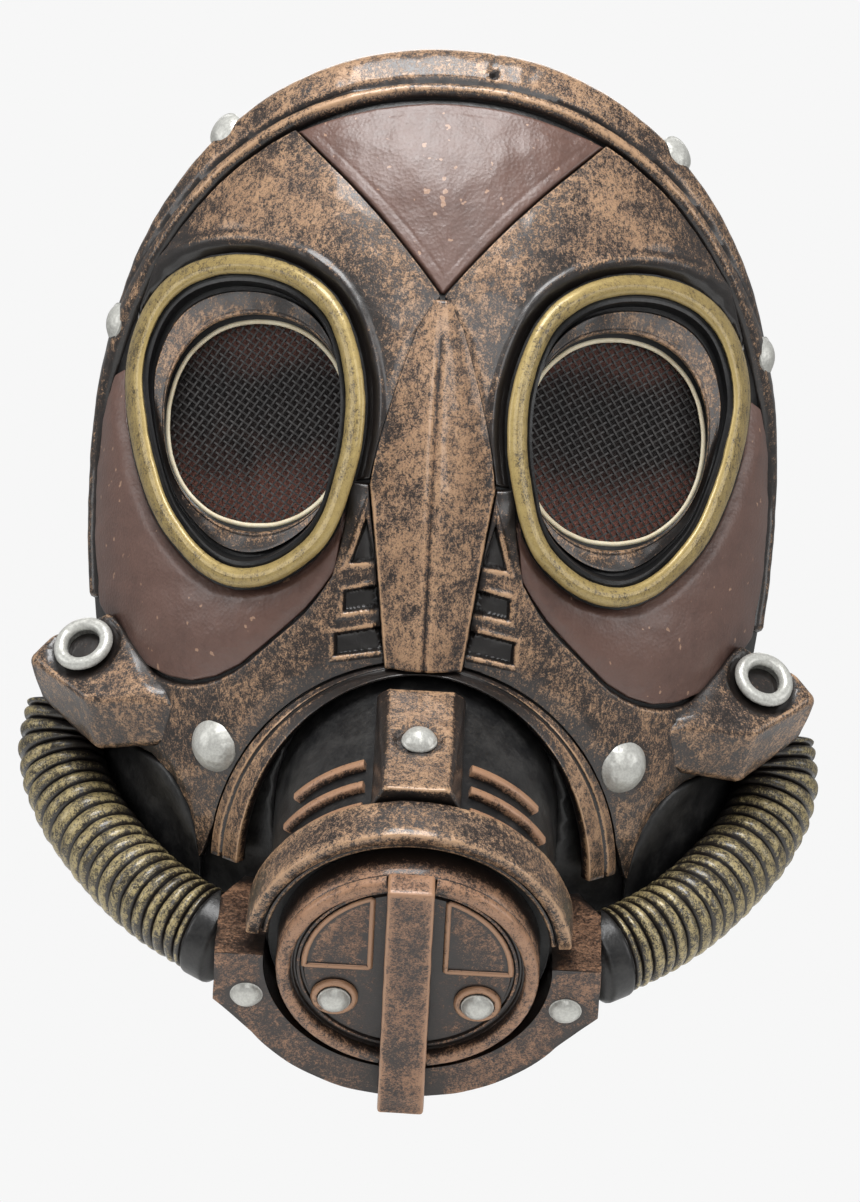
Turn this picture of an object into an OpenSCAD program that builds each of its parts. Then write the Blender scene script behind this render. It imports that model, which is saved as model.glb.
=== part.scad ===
// Front-only respirator costume mask: a domed latex skin that carries copper, leather and brass
// coloured pieces, two meshed goggle openings, a tilted snout with a round cap, two ribbed hoses
// and an elastic head strap.
// Frame: +Z up, the mask faces -Y, +X is the wearer's left. The origin is midway between the
// temple edges of the rim, in the opening that the head goes into.

/* [Rim] */
// Width of the rim across the temples
rim_w = 207; // [196:1:222]
// Height of the crown above the temples
rim_top = 131.5; // [122:0.5:148]
// Depth of the chin below the temples
rim_bottom = 182; // [172:1:200]
// Thickness of the latex skin
skin = 3; // [2:0.5:4]

/* [Form] */
// How much wider the dome would be than the rim if it ran on to its own base
form_spare_w = 15; // [12:1:24]
// Height of the dome's top end above the temples
form_top = 185; // [175:1:215]
// Depth of the dome's lower end below the temples
form_bottom = 230; // [222:1:260]
// Depth of the whole dome
form_depth = 140; // [120:1:160]

/* [Plates] */
// Width of the crown band at the top, as seen from the front
band_w = 15; // [12:1:20]
// Thickness of the crown band
band_t = 3.6; // [2.5:0.1:5]
// Thickness of the leather panels
leather_t = 1.6; // [1:0.1:2.5]
// Thickness of the copper plates
plate_t = 2.6; // [1.8:0.1:4]
// Gap between neighbouring plates
seam = 0.6; // [0.4:0.1:1.2]
// Half width of the nose ridge at its widest
nose_half_w = 18.5; // [15:0.5:21]

/* [Goggles] */
// Distance from the middle of the face to the middle of a goggle
eye_x = 57; // [54:0.5:60]
// Height of the goggles above the temples
eye_z = 18; // [14:1:22]
// Thickness of the brass goggle rim
goggle_bead = 6; // [4:0.5:8]
// Width of the mesh opening
mesh_w = 54.4; // [46:0.2:56]
// Height of the mesh opening
mesh_h = 60.6; // [52:0.2:62]
// Thickness of the mesh
mesh_t = 0.8; // [0.5:0.1:1.2]

/* [Snout] */
// Angle by which the snout points down
snout_tilt = 42; // [36:1:48]
// Height of the cap's middle, below the temples
snout_drop = 141; // [136:1:146]
// How far the cap stands in front of the temples
snout_reach = 114; // [110:1:122]
// Radius of the snout's barrel
barrel_r = 42; // [40:0.5:44]
// Wall of the barrel
barrel_wall = 3; // [2:0.5:5]
// Width of the brow band round the barrel, measured outwards
visor_t = 6; // [4:0.5:8]
// Length of the brow band along the barrel
visor_l = 15; // [11:0.5:18]
// Gap between the cap's side and the barrel's outer face
cap_gap = 3.5; // [3:0.5:6]
// Width of the bar across the cap
bar_w = 13.6; // [10:0.2:16]
// Height of the bar above the cap
bar_t = 9; // [6:0.5:12]
// Length of the bar
bar_l = 94; // [88:1:98]

/* [Hoses] */
// Outer diameter of a ribbed hose
hose_d = 26.5; // [20:0.5:28]
// Inner diameter of a ribbed hose
hose_bore = 16; // [12:0.5:17]

/* [Rivets and eyelets] */
// Diameter of the rivets on the crown band
crown_rivet_d = 11.5; // [8:0.5:13]
// Diameter of the cheek rivets
cheek_rivet_d = 16; // [12:0.5:18]
// Diameter of the rivets on the snout
snout_rivet_d = 9.6; // [7:0.2:11]
// Diameter of a rivet's shank
shank_d = 3; // [2:0.5:4]
// Outer diameter of the eyelets
eyelet_d = 18; // [16:0.5:19]
// Bore of the eyelets
eyelet_bore = 11; // [8:0.5:12]
// Length of an eyelet's bore
eyelet_l = 10; // [7:0.5:12]

/* [Head strap] */
// Width of the elastic strap
strap_w = 20; // [15:1:26]
// Thickness of the strap
strap_t = 1.5; // [1:0.1:2.2]
// Radius of the loop that the strap makes behind the head
strap_r = 83; // [76:0.5:84]
// Running clearance between moving pieces
running = 0.08; // [0.05:0.01:0.1]

/* [Hidden] */

glue = 0.15;         // gap between a piece and what it is bonded to
form_square = 2.6;   // how square the dome is across: 2 is an ellipse
rim_square = 2.15;   // the same for the upper outline of the rim
rim_half_w = rim_w / 2;
cap_r = barrel_r - cap_gap;
form_half_w = rim_half_w + form_spare_w / 2;
temple_y = form_depth * sqrt(1 - pow(rim_half_w / form_half_w, form_square));

copper = [0.45, 0.29, 0.2];
leather = [0.36, 0.23, 0.2];
brass = [0.6, 0.5, 0.25];
silver = [0.75, 0.75, 0.72];
black = [0.1, 0.1, 0.11];
cream = [0.8, 0.72, 0.55];
elastic = [0.12, 0.12, 0.12];

// ---- Points and curves -------------------------------------------------------------------

function blend(a, b, t) = a + (b - a) * t;
function unit(v) = v / norm(v);

// A point of the smooth curve through b and c, with a before them and d after them.
function smooth(a, b, c, d, t) =
  0.5 * (2 * b + (c - a) * t + (2 * a - 5 * b + 4 * c - d) * t * t + (3 * b - a - 3 * c + d) * t * t * t);

// A smooth open curve through the given points, as n + 1 points.
function curve(points, n) = let (last = len(points) - 1)
  [for (i = [0 : n])
    let (u = i / n * last, k = min(floor(u), last - 1))
    smooth(points[max(k - 1, 0)], points[k], points[k + 1], points[min(k + 2, last)], u - k)];

// A value round a closed list that holds one entry every equal angle.
function round_value(list, a) = let (
    n = len(list), u = ((a % 360) + 360) % 360 / 360 * n, k = floor(u))
  smooth(list[(k + n - 1) % n], list[k % n], list[(k + 1) % n], list[(k + 2) % n], u - k);

// ---- The mask's form ---------------------------------------------------------------------
// A point on it is given as p = [x, z], as seen from the front.

function form_v(p) = max(0.003,
  1 - pow(abs(p[0]) / form_half_w, form_square) - pow(p[1] / (p[1] > 0 ? form_top : form_bottom), 2));
function form_y(p) = temple_y - form_depth * sqrt(form_v(p));
function form_normal(p) = let (
    b = p[1] > 0 ? form_top : form_bottom,
    steep = form_depth / sqrt(form_v(p)))
  unit([sign(p[0]) * steep * form_square * pow(abs(p[0]) / form_half_w, form_square - 1) / (2 * form_half_w),
    -1, steep * p[1] / (b * b)]);
function on_form(p, h) = [p[0], form_y(p), p[1]] + h * form_normal(p);

// A point of the rim's outline at an angle from +X, or of the same outline shrunk by s.
function rim_point(a, s = 1) = let (
    b = sin(a) > 0 ? rim_top : rim_bottom, e = sin(a) > 0 ? rim_square : 2)
  s * [cos(a), sin(a)] / pow(pow(abs(cos(a)) / rim_half_w, e) + pow(abs(sin(a)) / b, e), 1 / e);

// ---- Solids from points ------------------------------------------------------------------

// A sheet with two faces. Both are grids of points of the same size.
module slab(outer, inner) {
  u = outer[1][0] - outer[0][0];
  v = outer[0][1] - outer[0][0];
  out = outer[0][0] - inner[0][0];
  turned = cross(u, v) * out < 0;
  rows = len(outer);
  cols = len(outer[0]);
  function swap(face) = turned ? [for (i = [len(face) - 1 : -1 : 0]) face[i]] : face;
  function a(i, j) = i * cols + j;
  function b(i, j) = (rows + i) * cols + j;
  polyhedron(
    points = concat([for (row = outer) each row], [for (row = inner) each row]),
    faces = concat(
      [for (i = [0 : rows - 2], j = [0 : cols - 2]) swap([a(i, j), a(i, j + 1), a(i + 1, j + 1), a(i + 1, j)])],
      [for (i = [0 : rows - 2], j = [0 : cols - 2]) swap([b(i, j), b(i + 1, j), b(i + 1, j + 1), b(i, j + 1)])],
      [for (i = [0 : rows - 2]) swap([a(i, 0), a(i + 1, 0), b(i + 1, 0), b(i, 0)])],
      [for (i = [0 : rows - 2]) swap([b(i, cols - 1), b(i + 1, cols - 1), a(i + 1, cols - 1), a(i, cols - 1)])],
      [for (j = [0 : cols - 2]) swap([b(0, j), b(0, j + 1), a(0, j + 1), a(0, j)])],
      [for (j = [0 : cols - 2]) swap([a(rows - 1, j), a(rows - 1, j + 1), b(rows - 1, j + 1), b(rows - 1, j)])]));
}

// A plate that lies on the form between two edge curves, from height low to height high.
module plate(edge_a, edge_b, cols, low, high) {
  grid = [for (i = [0 : len(edge_a) - 1]) [for (j = [0 : cols]) blend(edge_a[i], edge_b[i], j / cols)]];
  slab([for (row = grid) [for (p = row) on_form(p, high)]],
    [for (row = grid) [for (p = row) on_form(p, low)]]);
}

// A closed ring whose section is a loop of points: rings[k] is the closed curve of section point k.
// The curves run anticlockwise as seen from the front, and the section runs inwards on its front.
module ring(rings) {
  m = len(rings);
  n = len(rings[0]);
  polyhedron(
    points = [for (r = rings) each r],
    faces = [for (k = [0 : m - 1], i = [0 : n - 1])
      let (k2 = (k + 1) % m, i2 = (i + 1) % n) [k * n + i, k2 * n + i, k2 * n + i2, k * n + i2]]);
}

// A round rod along a path.
module rod(path, r, sides) {
  last = len(path) - 1;
  sections = [for (i = [0 : last])
    let (d = unit(path[min(i + 1, last)] - path[max(i - 1, 0)]),
      e = unit(cross(d, [0, 1, 0.3])),
      f = cross(d, e))
    [for (k = [0 : sides - 1]) path[i] + r * (cos(360 * k / sides) * e + sin(360 * k / sides) * f)]];
  polyhedron(
    points = [for (s = sections) each s],
    faces = concat(
      [[for (k = [0 : sides - 1]) k]],
      [[for (k = [sides - 1 : -1 : 0]) last * sides + k]],
      [for (i = [0 : last - 1], k = [0 : sides - 1])
        let (k2 = (k + 1) % sides)
        [i * sides + k, (i + 1) * sides + k, (i + 1) * sides + k2, i * sides + k2]]));
}

// The polar grid of the dome at a height above the form.
rim_steps = 56;
dome_steps = 13;
function dome_share(k) = 1 - pow(1 - k / dome_steps, 1.35);
function dome_rings(h, spread = 1) =
  [for (k = [1 : dome_steps]) [for (i = [0 : rim_steps - 1])
    on_form(rim_point(360 * i / rim_steps, dome_share(k) * spread), h)]];

// The dome between two heights, out to the rim.
module dome(low, high) {
  top = dome_rings(high);
  bottom = dome_rings(low);
  n = rim_steps;
  m = dome_steps;
  function a(k, i) = k * n + i % n;
  function b(k, i) = (m + k) * n + i % n;
  pole = 2 * m * n;
  polyhedron(
    points = concat([for (r = top) each r], [for (r = bottom) each r], [on_form([0, 0], high), on_form([0, 0], low)]),
    faces = concat(
      [for (k = [0 : m - 2], i = [0 : n - 1]) [a(k, i), a(k, i + 1), a(k + 1, i + 1), a(k + 1, i)]],
      [for (k = [0 : m - 2], i = [0 : n - 1]) [b(k, i), b(k + 1, i), b(k + 1, i + 1), b(k, i + 1)]],
      [for (i = [0 : n - 1]) [a(0, i + 1), a(0, i), pole]],
      [for (i = [0 : n - 1]) [b(0, i), b(0, i + 1), pole + 1]],
      [for (i = [0 : n - 1]) [a(m - 1, i), a(m - 1, i + 1), b(m - 1, i + 1), b(m - 1, i)]]));
}

// Everything behind the form at a height, back to a plane behind the rim. It trims what seats on the skin.
module behind_form(h) {
  front = dome_rings(h, 1.004);
  back_y = 40;
  n = rim_steps;
  m = dome_steps;
  function a(k, i) = k * n + i % n;
  polyhedron(
    points = concat([for (r = front) each r], [for (p = front[m - 1]) [p[0], back_y, p[2]]], [on_form([0, 0], h)]),
    faces = concat(
      [for (k = [0 : m - 1], i = [0 : n - 1]) [a(k, i), a(k, i + 1), a(k + 1, i + 1), a(k + 1, i)]],
      [for (i = [0 : n - 1]) [a(0, i + 1), a(0, i), (m + 1) * n]],
      [[for (i = [0 : n - 1]) a(m, i)]]));
}

// The same for the part of the rim between two angles only.
module behind_rim(a1, a2, from, h) {
  front = [for (i = [0 : 9]) [for (j = [0 : 8]) on_form(rim_point(blend(a1, a2, i / 9), blend(from, 1.004, j / 8)), h)]];
  slab(front, [for (row = front) [for (p = row) [p[0], 40, p[2]]]]);
}

// Places children with their +Z along the form's normal, at a height above it.
module stand_on_form(p, h) {
  d = form_normal(p);
  translate(on_form(p, h)) rotate([0, acos(d[2]), atan2(d[1], d[0])]) children();
}

module mirrored(on) {
  if (on) mirror([1, 0, 0]) children();
  else children();
}

// ---- Skin and plates ---------------------------------------------------------------------

function band_share(a) = 1 - (band_w / rim_top) * (0.18 + 0.82 * pow(max(0, sin(a)), 1.4));
band_from = -21;     // the band ends at the ear blocks

// A prism through the skin along Y, from an outline of [x, z] points.
module through_skin(outline) {
  translate([0, 60, 0]) rotate([90, 0, 0]) linear_extrude(240) polygon(outline);
}

goggle_steps = 44;
goggle_turns = [for (i = [0 : goggle_steps - 1]) 360 * i / goggle_steps];

module face_shell() color(black) difference() {
  dome(-skin, 0);
  for (side = [0, 1]) mirrored(side == 1) through_skin([for (a = goggle_turns) goggle_point(a, 0.6)]);
  in_snout() translate([0, 0, -150]) cylinder(r = barrel_r + glue, h = 150, $fn = 96);
}

module crown_band() color(copper) {
  turns = [for (i = [0 : 64]) blend(180 - band_from, band_from, i / 64)];
  outer = [for (a = turns) rim_point(a)];
  inner = [for (a = turns) rim_point(a, band_share(a))];
  plate(inner, outer, 4, glue, band_t);
}

// The middle of the forehead: a triangle whose top lies along the crown band.
tri_corner_a = 66.4;           // angle of the corner round the rim
tri_apex = [0, 57];
function band_edge(a) = rim_point(a, band_share(a) - seam / 100);
function tri_side(t) = let (c = band_edge(tri_corner_a), p = blend(c, tri_apex, t))
  p - [2.4 * sin(180 * t), 0];

module forehead_panel() color(leather) {
  rows = [for (i = [0 : 14]) tri_side(i / 14 * 0.985)];
  outer = [for (i = [0 : 14]) let (p = rows[i]) [for (j = [-6 : 6])
    [p[0] * j / 6, p[1] + crown_rise(p[0] * j / 6, p) * (1 - i / 14)]]];
  slab([for (r = outer) [for (p = r) on_form(p, leather_t)]], [for (r = outer) [for (p = r) on_form(p, glue)]]);
}
// How much the panel's top edge rises over the straight line between its corners.
function crown_rise(x, corner) = 10.6 * (1 - pow(x / max(corner[0], 0.01), 2));

// The plate over a goggle, from its outer side over the top and down beside the nose.
module brow_plate(side) color(copper) mirrored(side) {
  goggle_side = [for (i = [0 : 20]) goggle_point(blend(42, 206, i / 20), -goggle_bead / 2 - seam)];
  far_side = concat(
    [for (i = [0 : 8]) band_edge(blend(30, tri_corner_a, i / 8))],
    [for (i = [1 : 6]) tri_side(i / 6) + [seam, 0]],
    [for (i = [1 : 6]) let (z = blend(tri_apex[1] - 1, 2, i / 6)) [nose_half(z) + seam, z]]);
  plate(goggle_side, far_side, 7, glue, plate_t);
}

// The leather below and outside a goggle.
cheek_low_edge = [[98, -40], [90, -50.5], [79, -58.5], [67, -60.5], [55, -55.5], [44, -45.5], [34, -35.5], [27, -25]];
module cheek_panel(side) color(leather) mirrored(side) {
  goggle_side = [for (i = [0 : 22]) goggle_point(blend(20, -142, i / 22), -goggle_bead / 2 - seam)];
  far_side = concat([for (i = [0 : 9]) band_edge(blend(17, -20, i / 9))], curve(cheek_low_edge, 12));
  plate(goggle_side, far_side, 6, glue, leather_t);
}

// The copper wing from the nose past the snout to the ear block.
wing_low_edge = [[86, -80], [76, -84.5], [68, -94], [64, -104], [62.5, -113]];
arch_c = -111;       // height of the middle of the arch round the snout
arch_out = barrel_r + 17;       // its outer radius
function arch_out_point(a) = [arch_out * cos(a), arch_c + (arch_out + 1) * sin(a)];
module cheek_bracket(side) color(copper) mirrored(side) difference() {
  upper = concat(
    curve([[92, -49], [79, -59.2], [67, -61.2], [55, -56.2], [44, -46.2], [34, -36.2], [27.6, -25.8]], 16),
    [for (i = [1 : 5]) blend([27.6, -25.8], [22, -12], i / 5)]);
  lower = concat(curve(wing_low_edge, 5),
    [for (i = [1 : 16]) arch_out_point(blend(3, 79, i / 16)) + [seam, seam]]);
  plate(upper, lower, 7, glue, plate_t);
  nose_clearance();
  vent_slots(0.3);
}

// The three openings beside the nose ridge.
vent_outlines = [[[22.7, -22.5], [18.9, -9.7], [15.8, -21.5]],
  [[24, -37], [24, -31], [14.6, -29], [13.4, -35]],
  [[25.9, -50], [26, -43.7], [12.9, -41], [11.6, -47.4]]];
module vent_slots(grow) {
  translate([0, 60, 0]) rotate([90, 0, 0]) linear_extrude(240)
    offset(delta = grow) for (v = vent_outlines) polygon(v);
}
vent_rows = [for (i = [0 : 10]) blend(-6, -54, i / 10)];
module vent_inlays(side) color(black) mirrored(side) difference() {
  intersection() {
    plate([for (z = vent_rows) [28, z]], [for (z = vent_rows) [10, z]], 6, 2 * glue, 1.4);
    vent_slots(0);
  }
  nose_clearance();
}

// The web of black latex between a hose and the cheek.
web_outer_edge = [[97, -85], [97, -92], [92, -103], [83, -115], [72, -125], [63, -131]];
module hose_web(side) color(black) mirrored(side) {
  inner = curve([for (p = wing_low_edge) p + [seam * 0.8, -seam]], 12);
  outer = curve(web_outer_edge, 12);
  plate(inner, outer, 4, glue, 1.2);
}

// The raised ridge down the nose, higher towards the snout.
function nose_half(z) = z > 0 ? blend(nose_half_w, 3, pow(z / tri_apex[1], 1.3))
  : blend(nose_half_w, 11, pow(-z / 55, 0.9));
function nose_h(z) = blend(2.9, 10, pow((tri_apex[1] - z) / 112, 1.4));
nose_bottom = arch_c + arch_out + 1.8;
module nose_ridge() color(copper) {
  rows = [for (i = [0 : 16]) blend(tri_apex[1] - 3, nose_bottom, i / 16)];
  slab([for (z = rows) [for (j = [-4 : 4]) on_form([nose_half(z) * j / 4, z], nose_h(z) - 1.6 * abs(j) / 4)]],
    [for (z = rows) [for (j = [-4 : 4]) on_form([nose_half(z) * j / 4, z], glue)]]);
}
// What the plates leave free for the ridge.
module nose_clearance() {
  rows = [for (i = [0 : 16]) blend(tri_apex[1] + 1, nose_bottom - 3, i / 16)];
  through_skin(concat([for (z = rows) [nose_half(z) + seam / 2, z]],
    [for (i = [16 : -1 : 0]) [-nose_half(rows[i]) - seam / 2, rows[i]]]));
}

// ---- Goggles -----------------------------------------------------------------------------

// Radius of the goggle rim's middle line, every 30 degrees from +X.
goggle_radii = [33, 39, 46, 46, 43, 36, 33, 35, 43, 47, 39, 33];
goggle_slope_x = 0.68;   // how fast the rim falls back towards the temple
goggle_slope_z = 0.115;  // how fast it falls back towards the crown
goggle_stand = 3;        // how far the rim stands off the form
function goggle_point(a, inset = 0) = [eye_x, eye_z] + (round_value(goggle_radii, a) - inset) * [cos(a), sin(a)];
function goggle_plane_y(p) = form_y([eye_x, eye_z]) + 1
  + goggle_slope_x * (p[0] - eye_x) + goggle_slope_z * (p[1] - eye_z);
function goggle_y(p) = (goggle_plane_y(p) + form_y(p) - goggle_stand) / 2;

mesh_c = [eye_x - 4, eye_z - 1];
mesh_slope = 0.55;
mesh_depth = 12;         // how far the mesh lies behind the form's middle
function mesh_point(a, grow = 0) = mesh_c + (1 / pow(pow(abs(cos(a)) / (mesh_w / 2), 2.15)
  + pow(abs(sin(a)) / (mesh_h / 2), 2.15), 1 / 2.15) + grow) * [cos(a), sin(a)];
function mesh_y(p) = form_y([eye_x, eye_z]) + mesh_depth + mesh_slope * (p[0] - mesh_c[0]) + 0.05 * (p[1] - mesh_c[1]);

// A point of the cup's floor, from the rim at t = 0 to the mesh at t = 1, and how deep it lies.
function cup_depth(t) = t < 0.15 ? 0.8 * t / 0.15 : 0.8 + 0.2 * (t - 0.15) / 0.85;
function cup_point(a, t, lift = 0) = let (p = blend(goggle_point(a, cup_inset), mesh_point(a, 0.6), t))
  [p[0], blend(goggle_y(p) + 0.5, mesh_y(p), cup_depth(t)) - lift, p[1]];

module goggle_rim(side) color(brass) mirrored(side)
  ring([for (k = [0 : 7]) [for (a = goggle_turns)
    let (p = goggle_point(a, goggle_bead / 2 * sin(45 * k - 90)))
    [p[0], goggle_y(p) - goggle_bead / 2 * cos(45 * k - 90), p[1]]]]);

cup_wall = 1.2;          // measured outwards and backwards
cup_inset = 4.6;         // how far inside the rim's middle line the cup starts
module goggle_cup(side) color(black) mirrored(side) {
  steps = [0, 0.15, 0.5, 1];
  ring(concat([for (t = steps) [for (a = goggle_turns) cup_point(a, t)]],
    [for (i = [3 : -1 : 0]) [for (a = goggle_turns)
      cup_point(a, steps[i], -cup_wall) + cup_wall * [cos(a), 0, sin(a)]]]));
}

// The copper ring on the floor of the cup.
module goggle_bezel(side) color(copper) mirrored(side)
  ring([for (s = [[0.3, 1.4], [0.45, 3], [0.72, 3.2], [0.8, 1.6], [0.8, glue], [0.3, glue]])
    [for (a = goggle_turns) cup_point(a, s[0], s[1])]]);

module mesh_edge(side) color(cream) mirrored(side)
  ring([for (s = [[0.4, 0], [-0.9, 0], [-0.9, 1.6], [0.4, 1.6]])
    [for (a = goggle_turns) let (p = mesh_point(a, s[0])) [p[0], mesh_y(p) + s[1] - 0.4, p[1]]]]);

module mesh_sheet(side, grow, low, high) mirrored(side) {
  edge = [for (a = goggle_turns) mesh_point(a, grow)];
  n = goggle_steps;
  polyhedron(
    points = concat([for (p = edge) [p[0], mesh_y(p) + low, p[1]]], [for (p = edge) [p[0], mesh_y(p) + high, p[1]]]),
    faces = concat([[for (i = [n - 1 : -1 : 0]) i]], [[for (i = [0 : n - 1]) n + i]],
      [for (i = [0 : n - 1]) let (j = (i + 1) % n) [i, j, n + j, n + i]]));
}
mesh_back = 1.8;         // the mesh is bonded behind the cup's floor
module mesh_screen(side) color(black) mesh_sheet(side, 3.6, mesh_back, mesh_back + mesh_t);
module mesh_lining(side) color([0.2, 0.1, 0.08]) mesh_sheet(side, 3.6, mesh_back + mesh_t + glue, mesh_back + mesh_t + 1);

// ---- Snout -------------------------------------------------------------------------------

// Form depth at which the ear block's corners and the snout's reach hold as they stand.
drawn_depth = 140;
snout_share = 0.8;       // share of any further form depth by which the snout moves with the face
snout_y = -snout_reach - snout_share * (form_depth - drawn_depth);
// Puts children in the snout's own frame: +Z out through the cap, +Y up along the cap.
module in_snout() translate([0, snout_y, -snout_drop]) rotate([90 + snout_tilt, 0, 0]) children();

module snout_arch() color(copper) difference() {
  arch_ring();
  in_snout() translate([0, 0, -150]) cylinder(r = barrel_r + glue, h = 150, $fn = 96);
}
module arch_ring() {
  turns = [for (i = [0 : 34]) blend(180, 0, i / 34)];
  lip = [for (a = turns) [(barrel_r + 5.5) * cos(a), arch_c + (barrel_r + 15) * sin(a)]];
  foot = [for (a = turns) arch_out_point(a)];
  n = 4;
  grid = [for (i = [0 : 34]) [for (j = [0 : n]) blend(lip[i], foot[i], j / n)]];
  slab([for (i = [0 : 34]) [for (j = [0 : n]) on_form(grid[i][j], blend(10, 3, j / n))]],
    [for (i = [0 : 34]) [for (j = [0 : n]) on_form(grid[i][j], glue)]]);
}

barrel_front = -13;      // the barrel's front end, behind the cap's face
barrel_back = -105;
// Everything behind the sloping plane that the barrel ends at, inside the mask.
barrel_end = [0, -79, -47];
barrel_lean = 18.7;
module inside_mask() translate(barrel_end) rotate([barrel_lean, 0, 0]) translate([-80, 0, -200]) cube([160, 120, 260]);

module snout_barrel() color(black) difference() {
  in_snout() difference() {
    translate([0, 0, barrel_back]) cylinder(r = barrel_r, h = barrel_front - barrel_back, $fn = 96);
    translate([0, 0, barrel_back - 1]) cylinder(r = barrel_r - barrel_wall, h = barrel_front - barrel_back + 2, $fn = 96);
  }
  inside_mask();
}

// A part of a ring round the barrel, from one angle to another, measured from +X.
module part_ring(r1, r2, z1, z2, a1, a2) translate([0, 0, z1]) rotate([0, 0, a1])
  rotate_extrude(angle = a2 - a1, $fn = 96) translate([r1, 0]) square([r2 - r1, z2 - z1]);

block_half_w = 9.6;      // half the width of the bridge block's top
block_flare = 3.5;       // how much wider it is at its foot
slat_pitch = 9;
slat_gap = 2.8;          // gap between a slat and the bridge block
slat_end_a = acos((block_half_w + block_flare + slat_gap) / (barrel_r + 2.4));
module barrel_slats() color(black) in_snout() for (i = [0 : 2], side = [0, 1]) mirrored(side == 1)
  part_ring(barrel_r + glue, barrel_r + 2.4, visor_back - 5 - slat_pitch * i, visor_back - 2 - slat_pitch * i, 24 + 6 * i, slat_end_a);

visor_front = -8;
visor_back = visor_front - visor_l;
module brow_band() color(copper) in_snout()
  part_ring(barrel_r + glue, barrel_r + visor_t, visor_back, visor_front, 6, 174);

block_back = -72;
block_back_h = 3.7;      // how far its top stands off the barrel at the back
block_front_h = 9;       // and at the front
block_slope = atan((block_front_h - block_back_h) / (visor_back - block_back - 1.2));
module bridge_block() color(copper) in_snout() difference() {
  hull() {
    translate([-block_half_w, barrel_r - 4, visor_back - 1.2]) cube([2 * block_half_w, block_front_h + 4, 1]);
    translate([-block_half_w - block_flare, barrel_r - 4, visor_back - 1.2]) cube([2 * (block_half_w + block_flare), 5, 1]);
    translate([-block_half_w, barrel_r - 4, block_back]) cube([2 * block_half_w, block_back_h + 4, 1]);
    translate([-block_half_w - block_flare, barrel_r - 4, block_back]) cube([2 * (block_half_w + block_flare), 5, 1]);
  }
  translate([0, 0, -90]) cylinder(r = barrel_r + glue, h = 90, $fn = 96);
}

// The jaw: a half round housing under the barrel whose flat ledges run back at both sides.
jaw_half_w = 56.5;
jaw_r = 54;
jaw_top = 2;
module jaw_outline() polygon(concat(
  [[-jaw_half_w, jaw_top], [-jaw_half_w, -17]],
  [for (i = [0 : 24]) jaw_r * [cos(214 + 112 * i / 24), sin(214 + 112 * i / 24)]],
  [[jaw_half_w, -17], [jaw_half_w, jaw_top]]));
ledge_drop = 24;         // how much less the ledges climb than the snout's own slope
module jaw_housing() color(copper) difference() {
  in_snout() difference() {
    translate([0, 0, -66]) linear_extrude(64) jaw_outline();
    translate([0, 0, -80]) cylinder(r = barrel_r + glue, h = 90, $fn = 96);
    translate([-80, jaw_top, -2]) rotate([-ledge_drop, 0, 0]) translate([0, 0, -120]) cube([160, 60, 130]);
  }
  behind_form(glue);
  translate([-80, -160, arch_c - 0.6]) cube([160, 160, 60]);
}

module cap_disc() color(copper) in_snout() translate([0, 0, barrel_front + glue])
  cylinder(r = cap_r, h = -1.5 - barrel_front - glue, $fn = 96);

module cap_rim() color(copper) in_snout() difference() {
  translate([0, 0, -1.5 + glue]) cylinder(r = cap_r, h = 3, $fn = 96);
  translate([0, 0, -3]) cylinder(r = cap_r - 4.5, h = 8, $fn = 96);
  bar_gap();
}

// The two inset panels in the upper half of the cap.
module cap_windows() color(copper) in_snout() for (side = [0, 1]) mirrored(side == 1)
  translate([0, 0, -1.5 + glue]) linear_extrude(1) difference() {
    intersection() {
      circle(r = cap_r - 7.5, $fn = 72);
      translate([bar_w / 2 + 3.5, -1]) square([40, 40]);
    }
    intersection() {
      circle(r = cap_r - 9, $fn = 72);
      translate([bar_w / 2 + 5, 0.5]) square([40, 40]);
    }
  }

bar_top = 39.5;
module bar_gap() translate([-bar_w / 2 - glue, -bar_l, -10]) cube([bar_w + 2 * glue, 2 * bar_l, 40]);
module cap_bar() color(copper) in_snout() translate([-bar_w / 2, bar_top - bar_l, -1.5 + glue]) cube([bar_w, bar_l, bar_t]);

cap_rivet_at = [cap_r - 17.5, -12.5];
module cap_washers() color(copper) in_snout() for (side = [-1, 1])
  translate([side * cap_rivet_at[0], cap_rivet_at[1], -1.5 + glue]) difference() {
    cylinder(d = snout_rivet_d + 4.4, h = 1.4, $fn = 40);
    translate([0, 0, -1]) cylinder(d = shank_d + 2 * running, h = 4, $fn = 40);
  }

// ---- Ear blocks, eyelets and hoses -------------------------------------------------------

ear_at = [102.2, temple_y - form_depth * 0.64429, -52.5];       // middle of the eyelet
ear_pitch = 34;
ear_yaw = 22;
// Puts children in the frame of the ear block's sloping face, with +Z out of it.
module on_ear() translate(ear_at) rotate([0, 0, ear_yaw]) rotate([90 - ear_pitch, 0, 0]) children();

// The block's corners as [x, z, distance in front of the dome's base plane] on a form 140 deep.
ear_corners = [[82, -64, 107], [95, -42, 86], [112, -50, 84], [119, -57, 85], [100, -68, 103],
  [97, -83, 93], [115, -69, 76], [86, -80, 99], [112, -51, 57], [118, -58, 55], [113, -70, 54],
  [97, -83, 60], [84, -64, 70], [94, -44, 60]];
module ear_block(side) color(copper) mirrored(side) difference() {
  hull() polyhedron(points = [for (c = ear_corners) [c[0], temple_y - c[2] * form_depth / drawn_depth, c[1]]],
    faces = [for (i = [0 : len(ear_corners) - 3]) [i, i + 1, i + 2]]);
  behind_rim(-55, -14, 0.62, plate_t + 0.3);
  rod(hose_top, hose_d / 2 + 2 * glue, 14);
  on_ear() translate([0, 0, -eyelet_l + 2]) cylinder(d = eyelet_d - 5 + 2 * glue, h = 40, $fn = 48);
}

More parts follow.
